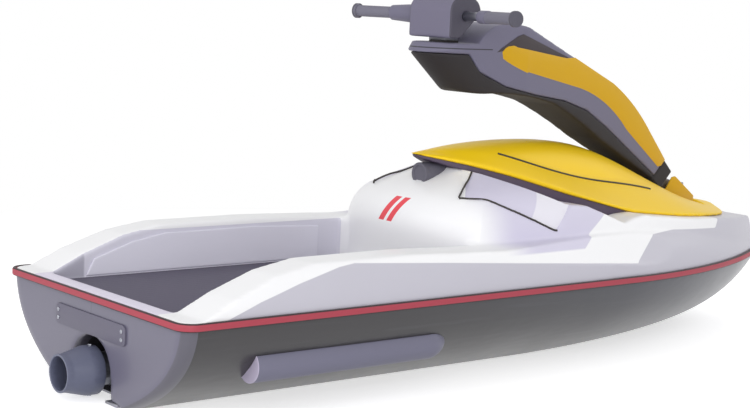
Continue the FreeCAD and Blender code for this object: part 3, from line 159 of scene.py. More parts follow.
for shader in (room["Background"], white_back):
    shader.inputs["Color"].default_value = (1, 1, 1, 1)

for name, place, size, watts in LAMPS:
    lamp = bpy.data.lights.new(name, "AREA")
    lamp.energy = watts
    lamp.size = size
    lamp_object = bpy.data.objects.new(name, lamp)
    bpy.context.collection.objects.link(lamp_object)
    heading = (AIM_POINT - Vector(place)).to_track_quat("-Z", "Y")
    lamp_object.matrix_world = Matrix.Translation(place) @ heading.to_matrix().to_4x4()
print("lamps", len(LAMPS))

# %% [markdown]
# Blender's operators act on whatever is selected, so two small helpers clear the selection and
# choose one object.  Faces are chosen by a test on their middle and their normal.

# %% Selecting
def clear():
    bpy.ops.object.select_all(action="DESELECT")


def choose(piece):
    """Make one object the only one that is selected and active."""
    clear()
    piece.select_set(True)
    bpy.context.view_layer.objects.active = piece


def choose_faces(piece, test):
    """Select the faces whose middle and normal pass the test."""
    for vertex in piece.data.vertices:
        vertex.select = False
    for edge in piece.data.edges:
        edge.select = False
    for face in piece.data.polygons:
        face.select = bool(test(face.center, face.normal))


def edit(kind="FACE"):
    bpy.ops.object.mode_set(mode="EDIT")
    bpy.ops.mesh.select_mode(type=kind)


def leave():
    bpy.ops.object.mode_set(mode="OBJECT")


print("helpers ready")

# %% [markdown]
# The floor is a pale sheet that catches the shadow near the craft.  It glows a little and far out it
# turns into plain white, both only for what looks straight at it or mirrors it, so that no horizon
# shows and no light of its own reaches the craft.  It isn't part of the watercraft, so it belongs to
# none of its bodies.

# %% Floor
FLOOR_SIZE = 60
FLOOR_DROP = 0.0005
FLOOR_LIFT = 0.6
WHITE_FROM, WHITE_AT = 1.4, 2.6
clear()
bpy.ops.mesh.primitive_plane_add(size=FLOOR_SIZE, location=(0, 0, -FLOOR_DROP))
floor = bpy.context.active_object
floor.name = "studio_floor"
floor_finish = bpy.data.materials.new("floor_white")
floor_finish.use_nodes = True
nodes = floor_finish.node_tree.nodes
links = floor_finish.node_tree.links
sheet = nodes["Principled BSDF"]
sheet.inputs["Base Color"].default_value = (0.86, 0.86, 0.87, 1)
sheet.inputs["Roughness"].default_value = 0.9
sheet.inputs["Emission Color"].default_value = (1, 1, 1, 1)
lift = nodes.new("ShaderNodeMath")
lift.operation = "MULTIPLY"
lift.inputs[1].default_value = FLOOR_LIFT
plain_white = nodes.new("ShaderNodeEmission")
spot = nodes.new("ShaderNodeTexCoord")
away = nodes.new("ShaderNodeVectorMath")
away.operation = "LENGTH"
far = nodes.new("ShaderNodeMapRange")
far.inputs["From Min"].default_value = WHITE_FROM
far.inputs["From Max"].default_value = WHITE_AT
ray_kind = nodes.new("ShaderNodeLightPath")
seen = nodes.new("ShaderNodeMath")
seen.operation = "MAXIMUM"
white_far = nodes.new("ShaderNodeMath")
white_far.operation = "MULTIPLY"
blend = nodes.new("ShaderNodeMixShader")
links.new(spot.outputs["Object"], away.inputs[0])
links.new(away.outputs["Value"], far.inputs["Value"])
links.new(ray_kind.outputs["Is Camera Ray"], seen.inputs[0])
links.new(ray_kind.outputs["Is Glossy Ray"], seen.inputs[1])
links.new(seen.outputs[0], lift.inputs[0])
links.new(lift.outputs[0], sheet.inputs["Emission Strength"])
links.new(far.outputs[0], white_far.inputs[0])
links.new(seen.outputs[0], white_far.inputs[1])
links.new(white_far.outputs[0], blend.inputs[0])
links.new(sheet.outputs[0], blend.inputs[1])
links.new(plain_white.outputs[0], blend.inputs[2])
links.new(blend.outputs[0], nodes["Material Output"].inputs["Surface"])
floor.data.materials.append(floor_finish)
print("floor", FLOOR_SIZE, "m")

# %% [markdown]
# Every real surface drifts a little in colour and in gloss, and has a fine grain that catches the
# light.  One shader group does this for all the finishes: each material places it with its own
# values.  It reads Object coordinates, so the grain keeps its size on every piece.

# %% Shader group: lively surface
def new_group(name, inputs, outputs):
    """An empty shader group with named sockets; inputs carry their first value."""
    group = bpy.data.node_groups.new(name, "ShaderNodeTree")
    for label, kind, value in inputs:
        socket = group.interface.new_socket(label, in_out="INPUT", socket_type=kind)
        socket.default_value = value
    for label, kind in outputs:
        group.interface.new_socket(label, in_out="OUTPUT", socket_type=kind)
    return group, group.nodes.new("NodeGroupInput"), group.nodes.new("NodeGroupOutput")


COLOUR = "NodeSocketColor"
VALUE = "NodeSocketFloat"
VECTOR = "NodeSocketVector"
GRAIN_HIGH = 0.0006


def noise(group, where, scale_from, detail):
    """A noise texture on Object coordinates whose scale comes from a group socket."""
    texture = group.nodes.new("ShaderNodeTexNoise")
    texture.inputs["Detail"].default_value = detail
    group.links.new(where, texture.inputs["Vector"])
    group.links.new(scale_from, texture.inputs["Scale"])
    return texture.outputs["Fac"]


def math_node(group, operation, first, second=None, clamp=False):
    """A math node whose inputs are numbers or sockets."""
    node = group.nodes.new("ShaderNodeMath")
    node.operation = operation
    node.use_clamp = clamp
    for socket, source in zip(node.inputs, (first, second)):
        if source is None:
            continue
        if isinstance(source, (int, float)):
            socket.default_value = source
        else:
            group.links.new(source, socket)
    return node.outputs[0]


surface, given, result = new_group(
    "lively_surface",
    (
        ("Color", COLOUR, (0.8, 0.8, 0.8, 1)),
        ("Color Drift", VALUE, 0.05),
        ("Drift Scale", VALUE, 6.0),
        ("Roughness", VALUE, 0.4),
        ("Roughness Drift", VALUE, 0.1),
        ("Grain Scale", VALUE, 400.0),
        ("Grain Depth", VALUE, 0.1),
    ),
    (("Color", COLOUR), ("Roughness", VALUE), ("Normal", VECTOR)),
)
where = surface.nodes.new("ShaderNodeTexCoord").outputs["Object"]
slow = noise(surface, where, given.outputs["Drift Scale"], 3)
fine = noise(surface, where, given.outputs["Grain Scale"], 2)
swing = math_node(surface, "SUBTRACT", slow, 0.5)
shade = math_node(surface, "MULTIPLY_ADD", swing, given.outputs["Color Drift"])
shade.node.inputs[2].default_value = 1.0
tint = surface.nodes.new("ShaderNodeVectorMath")
tint.operation = "SCALE"
surface.links.new(given.outputs["Color"], tint.inputs[0])
surface.links.new(shade, tint.inputs["Scale"])
surface.links.new(tint.outputs[0], result.inputs["Color"])
gloss = math_node(surface, "MULTIPLY_ADD", swing, given.outputs["Roughness Drift"])
surface.links.new(given.outputs["Roughness"], gloss.node.inputs[2])
surface.links.new(gloss, result.inputs["Roughness"])
grain = surface.nodes.new("ShaderNodeBump")
grain.inputs["Distance"].default_value = GRAIN_HIGH
surface.links.new(fine, grain.inputs["Height"])
surface.links.new(given.outputs["Grain Depth"], grain.inputs["Strength"])
surface.links.new(grain.outputs["Normal"], result.inputs["Normal"])
print("group", surface.name)

# %% [markdown]
# The lower hull is painted darker low down and paler higher up and towards the bow, as painted shade
# and light, and the painted shade of lavender on the cowl's sides fades in.  This group gives a mask
# that climbs from 0 to 1 along a direction between two distances, so a material can blend two paints
# with it.  Over a very short distance it makes a sharp edge, as on the ducts.

# %% Shader group: fade along a direction
def folded(group):
    """Object coordinates with Y made positive, so that port and starboard are painted alike."""
    split = group.nodes.new("ShaderNodeSeparateXYZ")
    joined = group.nodes.new("ShaderNodeCombineXYZ")
    group.links.new(group.nodes.new("ShaderNodeTexCoord").outputs["Object"], split.inputs[0])
    group.links.new(split.outputs["X"], joined.inputs["X"])
    group.links.new(math_node(group, "ABSOLUTE", split.outputs["Y"]), joined.inputs["Y"])
    group.links.new(split.outputs["Z"], joined.inputs["Z"])
    return joined.outputs[0]


fade, given, result = new_group(
    "fade_along",
    (("Direction", VECTOR, (0, 0, 1)), ("Start", VALUE, 0.0), ("End", VALUE, 1.0)),
    (("Mask", VALUE),),
)
where = folded(fade)
reach = fade.nodes.new("ShaderNodeVectorMath")
reach.operation = "DOT_PRODUCT"
fade.links.new(where, reach.inputs[0])
fade.links.new(given.outputs["Direction"], reach.inputs[1])
climb = fade.nodes.new("ShaderNodeMapRange")
climb.interpolation_type = "SMOOTHSTEP"
fade.links.new(reach.outputs["Value"], climb.inputs["Value"])
fade.links.new(given.outputs["Start"], climb.inputs["From Min"])
fade.links.new(given.outputs["End"], climb.inputs["From Max"])
fade.links.new(climb.outputs[0], result.inputs["Mask"])
print("group", fade.name)

# %% [markdown]
# Beaching and trailers leave fine scratches along a hull.  The group stretches a noise along X, so
# its spots become streaks, and keeps only the brightest of them as a mask.

# %% Shader group: long scratches
STREAK_STRETCH = (0.06, 1, 1.6)
STREAK_FROM, STREAK_FULL = 0.6, 0.75
scratches, given, result = new_group(
    "long_scratches",
    (("Scale", VALUE, 30.0), ("Amount", VALUE, 0.3)),
    (("Mask", VALUE),),
)
where = scratches.nodes.new("ShaderNodeTexCoord").outputs["Object"]
stretch = scratches.nodes.new("ShaderNodeMapping")
stretch.inputs["Scale"].default_value = STREAK_STRETCH
scratches.links.new(where, stretch.inputs["Vector"])
streak = noise(scratches, stretch.outputs[0], given.outputs["Scale"], 6)
keep_top = scratches.nodes.new("ShaderNodeMapRange")
keep_top.inputs["From Min"].default_value = STREAK_FROM
keep_top.inputs["From Max"].default_value = STREAK_FULL
scratches.links.new(streak, keep_top.inputs["Value"])
strength = math_node(scratches, "MULTIPLY", keep_top.outputs[0], given.outputs["Amount"])
scratches.links.new(strength, result.inputs["Mask"])
print("group", scratches.name)

# %% [markdown]
# Painted zones with straight sides, such as the sill, a parting line or a stencilled bar, are boxes
# in Object coordinates.  The group cuts one box out of space and gives 1 inside it.  Soft sets how
# far its edge fades.  Lean tips the box forward with height, Side Lean tips it to port, and with
# Two Sides at 1 the same box is painted to port and to starboard.

# %% Shader group: painted box
patch, given, result = new_group(
    "painted_box",
    (("Low", VECTOR, (-1, -1, -1)), ("High", VECTOR, (1, 1, 1)), ("Soft", VALUE, 0.001),
     ("Lean", VALUE, 0.0), ("Side Lean", VALUE, 0.0), ("Two Sides", VALUE, 1.0)),
    (("Mask", VALUE),),
)


def axis_mask(group, place, low, high, soft):
    """1 where place lies between low and high, fading over soft at both ends."""
    above = math_node(group, "DIVIDE", math_node(group, "SUBTRACT", place, low), soft, clamp=True)
    below = math_node(group, "DIVIDE", math_node(group, "SUBTRACT", high, place), soft, clamp=True)
    return math_node(group, "MULTIPLY", above, below)


def split_axes(group, vector):
    """The three numbers of a vector socket."""
    node = group.nodes.new("ShaderNodeSeparateXYZ")
    group.links.new(vector, node.inputs[0])
    return node.outputs[0], node.outputs[1], node.outputs[2]


def leaned(group, place, height, lean):
    """A place along one axis, set back by lean times the height."""
    return math_node(group, "SUBTRACT", place, math_node(group, "MULTIPLY", height, lean))


place = split_axes(patch, patch.nodes.new("ShaderNodeTexCoord").outputs["Object"])
tipped = leaned(patch, place[0], place[2], given.outputs["Lean"])
side = leaned(patch, place[1], place[2], given.outputs["Side Lean"])
unfold = math_node(patch, "SUBTRACT", math_node(patch, "ABSOLUTE", side), side)
side = math_node(patch, "ADD", side, math_node(patch, "MULTIPLY", unfold, given.outputs["Two Sides"]))
lows = split_axes(patch, given.outputs["Low"])
highs = split_axes(patch, given.outputs["High"])
inside = 1.0
for where, low, high in zip((tipped, side, place[2]), lows, highs):
    inside = math_node(patch, "MULTIPLY", axis_mask(patch, where, low, high, given.outputs["Soft"]), inside)
patch.links.new(inside, result.inputs["Mask"])
print("group", patch.name)

# %% [markdown]
# The grey on the deck's flank is painted shade: it stands for the outer side of the deck turned away
# from the light.  It ends at a line that rises from the stern, sinks a little along the side and steps
# up at the bow.  A colour ramp holds that line as heights over the length.  The mask is 1 below the
# line, on the outer side of the tray walls.

# %% Shader group: below the flank line
FLANK_LINE = (
    # station, height, in millimetres
    (0, 200), (100, 226), (180, 255), (285, 285), (395, 310), (440, 315), (705, 299), (1335, 256),
    (1430, 318), (1530, 322), (1755, 309), (1800, 340), (2205, 345),
)
FLANK_TOP = 400
TRAY_WALL = tray_edge + 0.004
LINE_SOFT = 0.0015
BOW_ZONE = 1.2
craft_len = hull_high.x - hull_low.x
flank, given, result = new_group("painted_flank_shade", (), (("Mask", VALUE),))
along, side, height = split_axes(flank, folded(flank))
share = math_node(flank, "DIVIDE", math_node(flank, "SUBTRACT", along, transom), craft_len)
ramp = flank.nodes.new("ShaderNodeValToRGB")
ramp.color_ramp.interpolation = "LINEAR"
line_len = FLANK_LINE[-1][0]
for index, (distance, top) in enumerate(FLANK_LINE):
    if index in (0, len(FLANK_LINE) - 1):
        stop = ramp.color_ramp.elements[-1 if index else 0]
    else:
        stop = ramp.color_ramp.elements.new(distance / line_len)
    stop.color = (top / FLANK_TOP, top / FLANK_TOP, top / FLANK_TOP, 1)
flank.links.new(share, ramp.inputs[0])
line = math_node(flank, "MULTIPLY", ramp.outputs["Color"], FLANK_TOP / 1000)
under = math_node(flank, "DIVIDE", math_node(flank, "SUBTRACT", line, height), LINE_SOFT, clamp=True)
ahead = math_node(flank, "GREATER_THAN", along, transom + BOW_ZONE)
outside = math_node(flank, "MAXIMUM", math_node(flank, "GREATER_THAN", side, TRAY_WALL), ahead)
flank.links.new(math_node(flank, "MULTIPLY", under, outside), result.inputs["Mask"])
print("group", flank.name, "stops", len(FLANK_LINE))

# %% [markdown]
# Each finish is a Principled shader fed by the groups.  Colours are written as they look on a
# screen, from 0 to 255, and turned into the linear values that a shader wants.  Sockets that are
# the same all over, such as coat and sheen, are plain numbers on the shader.

# %% Making a finish
def paint(red, green, blue):
    """A linear colour from the red, green and blue that a screen shows."""
    channels = []
    for value in (red, green, blue):
        share = value / 255
        channels.append(share / 12.92 if share <= 0.04045 else ((share + 0.055) / 1.055) ** 2.4)
    return (*channels, 1)


def finish(name, colour, rough, grain_scale, grain_depth, drift=0.05, rough_drift=0.15, **plain):
    """A material with the lively surface; plain holds sockets such as Coat_Weight."""
    material = bpy.data.materials.new(name)
    material.use_nodes = True
    tree = material.node_tree
    shader = tree.nodes["Principled BSDF"]
    lively = tree.nodes.new("ShaderNodeGroup")
    lively.node_tree = surface
    lively.name = "lively"
    values = {"Color": colour, "Color Drift": drift, "Roughness": rough, "Roughness Drift": rough_drift,
              "Grain Scale": grain_scale, "Grain Depth": grain_depth}
    for label, value in values.items():
        lively.inputs[label].default_value = value
    tree.links.new(lively.outputs["Color"], shader.inputs["Base Color"])
    tree.links.new(lively.outputs["Roughness"], shader.inputs["Roughness"])
    tree.links.new(lively.outputs["Normal"], shader.inputs["Normal"])
    for label, value in plain.items():
        shader.inputs[label.replace("_", " ")].default_value = value
    return material


def blend_in(material, mask, colour):
    """Mix a second colour into a finish where the mask is 1."""
    tree = material.node_tree
    lively = tree.nodes["lively"]
    mix = tree.nodes.new("ShaderNodeMix")
    mix.data_type = "RGBA"
    sources = [link.from_socket for link in tree.links if link.to_socket == lively.inputs["Color"]]
    tree.links.new(mask, mix.inputs["Factor"])
    if sources:
        tree.links.new(sources[0], mix.inputs["A"])
    else:
        mix.inputs["A"].default_value = lively.inputs["Color"].default_value
    mix.inputs["B"].default_value = colour
    tree.links.new(mix.outputs["Result"], lively.inputs["Color"])


def masks(material, group, **values):
    """Place a mask group in a material and give back its Mask output."""
    node = material.node_tree.nodes.new("ShaderNodeGroup")
    node.node_tree = group
    for label, value in values.items():
        node.inputs[label.replace("_", " ")].default_value = value
    return node.outputs["Mask"]


print("finish helper ready")

# %% [markdown]
# Gelcoat is a hard, glossy resin: a smooth coat over an even colour with almost no grain.  The deck
# is white.  Its flanks are painted pale grey as painted shade, the tray's inner walls a grey of
# painted shade that is darker near their rear ends as painted shadow, and the sill at the back of
# the tray is a pale lavender.

# %% Gelcoat finishes
white_gel = finish("deck_white", paint(249, 249, 251), 0.38, 900, 0.03, drift=0.015, Coat_Weight=0.15,
                   Coat_Roughness=0.2, Specular_IOR_Level=0.4)
# Painted shade: pale grey on the deck's flanks, below the flank line.
blend_in(white_gel, masks(white_gel, flank), paint(198, 196, 207))
SILL, CORNER, TRAY_FRONT = 46, 128, 872
WALL_IN, WALL_LOW, WALL_HIGH = 0.25, 0.1, 0.31
TRAY_ZONES = (
    # station where it begins, station where it ends, inner side, softness in metres, paint
    # The first two zones are painted shade on the tray's inner walls, the second darker at their rear ends.
    (SILL, TRAY_FRONT, WALL_IN, 0.001, paint(218, 216, 229)),
    (SILL, CORNER, WALL_IN, 0.004, paint(178, 176, 190)),
    (-20, SILL, 0, 0.001, paint(226, 219, 238)),
)
for start, end, inner, soft, colour in TRAY_ZONES:
    zone = masks(white_gel, patch, Low=(station(start), inner, WALL_LOW),
                 High=(station(end), TRAY_WALL, WALL_HIGH), Soft=soft)
    blend_in(white_gel, zone, colour)
print("deck gelcoat with", len(TRAY_ZONES) + 1, "zones")

# %% [markdown]
# The cowl's sides are white at the back.  A pale lavender of painted shade fades in towards the bow
# and ends at a slanted edge, where the cowl's side turns away from the light.  Two leaning red bars are
# painted on the port side, near the cowl's rear end.  The hood and the pole's stripes are yellow
# gelcoat, and the stripes' yellow is the darker one.

# %% Cowl and hood gelcoat
SHADE_LEAN = 1.574
SHADE_IN, SHADE_OUT = 0.18, 0.4
SHADE_LOW, SHADE_HIGH = 0.298, 0.5
# Painted shade: pale lavender on the cowl's sides.
side_shade = masks(white_gel, patch, Low=(station(-900), SHADE_IN, SHADE_LOW), Soft=0.004,
                   High=(station(691), SHADE_OUT, SHADE_HIGH), Lean=SHADE_LEAN)
side_fade = masks(white_gel, fade, Direction=(1, 0, 0), Start=station(880), End=station(1000))
tree = white_gel.node_tree
both = tree.nodes.new("ShaderNodeMath")
both.operation = "MULTIPLY"
tree.links.new(side_shade, both.inputs[0])
tree.links.new(side_fade, both.inputs[1])
blend_in(white_gel, both.outputs[0], paint(214, 210, 230))
hood_gel = finish("hood_yellow", paint(252, 210, 22), 0.45, 900, 0.03, drift=0.03, Coat_Weight=0.15,
                  Coat_Roughness=0.3, Specular_IOR_Level=0.25)
stripe_gel = finish("stripe_yellow", paint(214, 166, 8), 0.42, 900, 0.04, drift=0.04, Coat_Weight=0.1,
                    Coat_Roughness=0.25, Specular_IOR_Level=0.25)
RED_BARS = (
    # nearer and farther edge to port, in metres, before the bar leans
    (0.196, 0.216), (0.226, 0.248),
)
BAR_LEAN = -0.6
BAR_LOW, BAR_HIGH = 0.338, 0.4
for near, far in RED_BARS:
    bar = masks(white_gel, patch, Low=(station(780), near, BAR_LOW), Soft=0.001,
                High=(station(900), far, BAR_HIGH))
    bar.node.inputs["Side Lean"].default_value = BAR_LEAN
    bar.node.inputs["Two Sides"].default_value = 0
    blend_in(white_gel, bar, paint(235, 70, 82))
print("cowl shade, red bars and hood gelcoat")

# %% [markdown]
# The lower hull is dark gelcoat, and painted light makes it paler towards the bow and the rail.  Its
# transom is painted a lavender grey as painted light on the face that looks aft, with a darker band of
# painted shade where the corner rounds into the side.  Beaching leaves fine streaks.

# %% Hull gelcoat
CORNER_FROM, CORNER_TO = 3, 31
HULL_OUT, HULL_TOP = 0.4, 0.3
hull_gel = finish("hull_dark", paint(46, 44, 47), 0.36, 700, 0.04, drift=0.08, Coat_Weight=0.25,
                  Coat_Roughness=0.15)
# Painted light: the hull grows paler upwards and towards the bow.
blend_in(hull_gel, masks(hull_gel, fade, Direction=(0.25, 0, 1), Start=0.02, End=0.42), paint(68, 70, 80))
# Painted light on the transom, and a darker band of painted shade at its rounded corner.
for end, colour in ((CORNER_TO, paint(88, 86, 98)), (CORNER_FROM, paint(103, 100, 119))):
    zone = masks(hull_gel, patch, Low=(station(-20), 0, -0.1), High=(station(end), HULL_OUT, HULL_TOP))
    blend_in(hull_gel, zone, colour)
blend_in(hull_gel, masks(hull_gel, scratches, Scale=40.0, Amount=0.1), paint(110, 110, 120))
print("hull gelcoat")

# %% [markdown]
# Rubber, foam and moulded plastic scatter light softly.  The tray mat is closed-cell foam with
# parallel grooves for grip, the side pads are smooth foam, and the grips are textured rubber.  Some
# plastics take a second colour.  The sponsons' rear faces, which look aft, are painted pale as painted
# light.  On the ducts a deeper lavender behind a slanted edge is painted shade of the recess they sit
# in.  The pole has a dark parting line.  The ducts turn white behind a plane through their rear edge,
# square to the face that DUCT_FACE looks along.

# %% Rubber, foam and plastic finishes
mat_foam = finish("mat_grey", paint(94, 90, 107), 0.85, 260, 0.5, drift=0.1)
pad_foam = finish("pad_grey", paint(226, 224, 237), 0.8, 320, 0.35, drift=0.05)
rail_rubber = finish("rail_red", paint(170, 60, 76), 0.55, 500, 0.2, drift=0.08)
grip_rubber = finish("rubber_grey", paint(96, 94, 106), 0.7, 420, 0.4, drift=0.08)
pole_plastic = finish("pole_grey", paint(110, 107, 128), 0.5, 500, 0.2, drift=0.05)
pad_black = finish("pad_black", paint(40, 36, 38), 0.75, 300, 0.45, drift=0.1)
recess_plastic = finish("recess_brown", paint(58, 50, 54), 0.6, 400, 0.3, drift=0.08)
# The hood rim is dark rubber, and its dark band also stands in for the shade in the gap under the hood's
# edge.
rim_rubber_gap_shade = finish("rim_purple", paint(80, 68, 88), 0.6, 400, 0.2, drift=0.06)
duct_plastic_shade = finish("duct_lavender", paint(236, 234, 244), 0.45, 500, 0.1, drift=0.03)
sponson_plastic = finish("sponson_grey", paint(114, 113, 133), 0.5, 400, 0.25, drift=0.05)
# Painted light: the sponsons' rear faces are paler.
sponson_end = corners("sponsons")[0].x + 0.002
blend_in(sponson_plastic, masks(sponson_plastic, patch, Low=(-2, 0, 0), High=(sponson_end, 1, 1)),
         paint(196, 187, 211))
panel_plastic = finish("panel_grey", paint(99, 96, 113), 0.5, 400, 0.2, drift=0.05)
nozzle_plastic = finish("nozzle_grey", paint(98, 102, 124), 0.42, 400, 0.15, drift=0.06)
# Painted shade: a deeper lavender on the ducts behind a slanted edge.
DUCT_LEAN = 0.93
blend_in(duct_plastic_shade, masks(duct_plastic_shade, patch, Low=(station(-900), 0, 0), High=(station(703), 1, 1),
                             Soft=0.003, Lean=DUCT_LEAN), paint(216, 212, 232))
duct_corner = place_at(901, 162, 412)
duct_top = place_at(998, 97, 467)
DUCT_FACE = Vector((-0.3, 0.6, 0.7))
DUCT_SOFT = 0.001
behind = (duct_top - duct_corner).cross(DUCT_FACE).normalized()
duct_end = behind.dot(duct_corner)
blend_in(duct_plastic_shade, masks(duct_plastic_shade, fade, Direction=behind, Start=duct_end - DUCT_SOFT,
                             End=duct_end + DUCT_SOFT), paint(249, 249, 251))
PARTING, PARTING_HALF = 0.766, 0.0016
blend_in(pole_plastic, masks(pole_plastic, patch, Low=(-0.3, 0, PARTING - PARTING_HALF), Soft=0.0006,
                             High=(station(1056), 1, PARTING + PARTING_HALF)), paint(40, 38, 46))
pad_cover = finish("pad_grey_skin", paint(114, 110, 131), 0.62, 380, 0.35, drift=0.05)
# Painted shade: the bar cover's end faces are darker.
PAD_EDGE = 0.0045
pad_shade_from = corners("bar_cover")[1].y - PAD_EDGE
blend_in(pad_cover, masks(pad_cover, patch, Low=(-1, pad_shade_from, 0.5), High=(1, 0.2, 1), Soft=0.0008),
         paint(72, 69, 82))
grip_ribs = finish("rubber_ribs", paint(122, 120, 135), 0.65, 420, 0.3, drift=0.06)
grip_end = corners("grip_left")[1].y
blend_in(grip_ribs, masks(grip_ribs, patch, Low=(-1, grip_end - 0.013, 0.5), High=(1, 1, 1), Soft=0.001),
         paint(84, 82, 94))
print("soft finishes made")

# %% [markdown]
# The ride plate, the pump, the engine and the screws are bare metal.  A metal's colour comes from
# what it reflects, so Metallic is high, and wear shows as a roughness that drifts more than plastic's.

# %% Metal finishes
plate_metal = finish("plate_metal", paint(150, 150, 158), 0.42, 300, 0.3, rough_drift=0.3, Metallic=0.9)
pump_metal = finish("pump_metal", paint(128, 130, 138), 0.45, 260, 0.4, rough_drift=0.3, Metallic=0.9)
engine_metal = finish("engine_metal", paint(110, 112, 118), 0.5, 220, 0.5, rough_drift=0.3, Metallic=0.8)
steel = finish("steel", paint(176, 178, 186), 0.28, 500, 0.15, rough_drift=0.2, Metallic=1.0)
FINISH_OF = {
    # material slot of the solid model: finish
    "hull_dark": hull_gel, "deck_white": white_gel, "rail_red": rail_rubber, "mat_grey": mat_foam,
    "pad_grey": pad_foam, "hood_yellow": hood_gel, "rim_purple": rim_rubber_gap_shade, "rubber_grey": grip_rubber,
    "duct_lavender": duct_plastic_shade, "engine_metal": engine_metal, "sponson_grey": sponson_plastic,
    "plate_metal": plate_metal, "pump_metal": pump_metal, "steel": steel, "panel_grey": panel_plastic,
    "stripe_yellow": stripe_gel, "pole_grey": pole_plastic, "pad_black": pad_black,
    "recess_brown": recess_plastic, "nozzle_grey": nozzle_plastic,
}
print("finishes", len(FINISH_OF))

# %% [markdown]
# Solid pieces whose shape is already right stay, and only get their finish.

# %% Finishes on the solid pieces
slot_of = {part["node"]: part["material_slot"] for part in frame["record"]["subparts"]}


def wear(piece, material):
    """Give a piece one finish all over."""
    piece.data.materials.clear()
    piece.data.materials.append(material)


for node, piece in frame["nodes"].items():
    wear(piece, FINISH_OF[slot_of[node]])
    choose(piece)
    bpy.ops.object.shade_smooth_by_angle(angle=math.radians(30))
print("finished solid pieces", len(frame["nodes"]))

# %% [markdown]
# A visible piece starts as a copy of its solid.  The copy's triangles are loose, so its doubles are
# merged first.  A moulding is then rebuilt from small even faces and relaxed, which rounds its edges
# the way resin leaves a mould.  A cut or pressed piece keeps flat faces and only gets bevelled edges.

# %% Shaping a copy of a solid piece
BODY_OF = {node: body for body, nodes in frame["record"]["behaviour"]["bodies"].items() for node in nodes}


def copy_of(node, name):
    """A merged copy of a solid piece's mesh, as an object of its own at the origin."""
    piece = bpy.data.objects.new(name, frame["nodes"][node].data.copy())
    bpy.context.collection.objects.link(piece)
    choose(piece)
    edit("VERT")
    bpy.ops.mesh.select_all(action="SELECT")
    bpy.ops.mesh.remove_doubles(threshold=0.00002)
    leave()
    return piece


def mould(piece, kind, **settings):
    """Add a modifier, set it up and apply it."""
    choose(piece)
    modifier = piece.modifiers.new(kind.lower(), kind)
    for label, value in settings.items():
        setattr(modifier, label, value)
    bpy.ops.object.modifier_apply(modifier=modifier.name)


def soften(piece, voxel, rounds, keep=1.0):
    """Round a moulding's edges: rebuild it from even faces, relax them, and keep a share of them."""
    mould(piece, "REMESH", mode="VOXEL", voxel_size=voxel)
    mould(piece, "SMOOTH", factor=0.5, iterations=rounds)
    if keep < 1:
        mould(piece, "DECIMATE", ratio=keep)
    bpy.ops.object.shade_smooth()


def edged(piece, width, angle=35, segments=2):
    """Pair a piece's triangles into quads and give its sharp edges a small radius."""
    choose(piece)
    edit("FACE")
    bpy.ops.mesh.select_all(action="SELECT")
    bpy.ops.mesh.tris_convert_to_quads(face_threshold=math.radians(2), shape_threshold=math.radians(80))
    leave()
    mould(piece, "BEVEL", width=width, segments=segments, limit_method="ANGLE",
          angle_limit=math.radians(angle))
    bpy.ops.object.shade_smooth_by_angle(angle=math.radians(40))


def stands_for(piece, node, material=None):
    """Let a piece take the place, the body and the finish of its solid."""
    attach(piece, BODY_OF[node])
    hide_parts(node)
    wear(piece, material or FINISH_OF[slot_of[node]])
    print(piece.name, "faces", len(piece.data.polygons))


print("shaping helpers ready")

# %% [markdown]
# Deck and hull are two big resin mouldings, glued at the bond line under the rubber rail.  Every
# edge of such a moulding has a radius of a few millimetres, because resin won't fill a sharp corner.

# %% Deck and hull mouldings
SKIN_VOXEL = 0.0045
deck_skin = copy_of("deck", "deck_skin")
soften(deck_skin, SKIN_VOXEL, rounds=10, keep=0.35)
stands_for(deck_skin, "deck")
hull_skin = copy_of("hull", "hull_skin")
soften(hull_skin, SKIN_VOXEL * 1.4, rounds=5, keep=0.35)
stands_for(hull_skin, "hull")

# %% [markdown]
# The hood is a thinner moulding that lifts off, so its edges are finer.

# %% Hood moulding
hood_skin = copy_of("hood", "hood_skin")
soften(hood_skin, SKIN_VOXEL, rounds=8, keep=0.4)
stands_for(hood_skin, "hood")

# %% [markdown]
# The steering pole is a closed plastic moulding with a foam pad under it.  Both have soft edges.

# %% Steering pole mouldings
def joined(name, *nodes):
    """Merged copies of several solid pieces as one object."""
    parts = [copy_of(node, name) for node in nodes]
    clear()
    for part in parts:
        part.select_set(True)
    bpy.context.view_layer.objects.active = parts[0]
    bpy.ops.object.join()
    return parts[0]


POLE_VOXEL = 0.0032
shell = joined("pole_moulding", "pole_shell", "pole_stripes")
soften(shell, POLE_VOXEL, rounds=5, keep=0.5)
stands_for(shell, "pole_shell")
under = copy_of("pole_underpad", "pole_under_foam")
soften(under, POLE_VOXEL, rounds=22, keep=0.5)
stands_for(under, "pole_underpad")

# %% [markdown]
# A yellow strip is let into each side of the pole.  Its rear end is rounded like a bullet: a prism
# with that outline is kept in common with the strip, and the strip then stands a hair proud.  The
# prism is a plain box ahead of the nose, and the nose is one Bezier curve.

# %% Pole stripes
BULLET_BOX = ((1200, 800), (1950, 800), (1950, 300), (1190, 300))
BULLET_NOSE = (
    # under edge and its handle, handle and upper edge: station, height, in millimetres
    (1186, 708), (1050, 752), (1055, 771), (1123, 776),
)
NOSE_POINTS = 13
PROUD = 0.0008


def side_prism(name, outline, half):
    """A prism across the craft whose side outline is given in millimetres from the transom."""
    clear()
    bpy.ops.mesh.primitive_circle_add(vertices=len(outline), fill_type="NGON")
    prism = bpy.context.active_object
    prism.name = name
    for vertex, (distance, height) in zip(prism.data.vertices, outline):
        vertex.co = (station(distance), -half, height / 1000)
    edit("FACE")
    bpy.ops.mesh.select_all(action="SELECT")
    bpy.ops.mesh.extrude_region_move(TRANSFORM_OT_translate={"value": (0, 2 * half, 0)})
    bpy.ops.mesh.select_all(action="SELECT")
    bpy.ops.mesh.normals_make_consistent(inside=False)
    leave()
    return prism


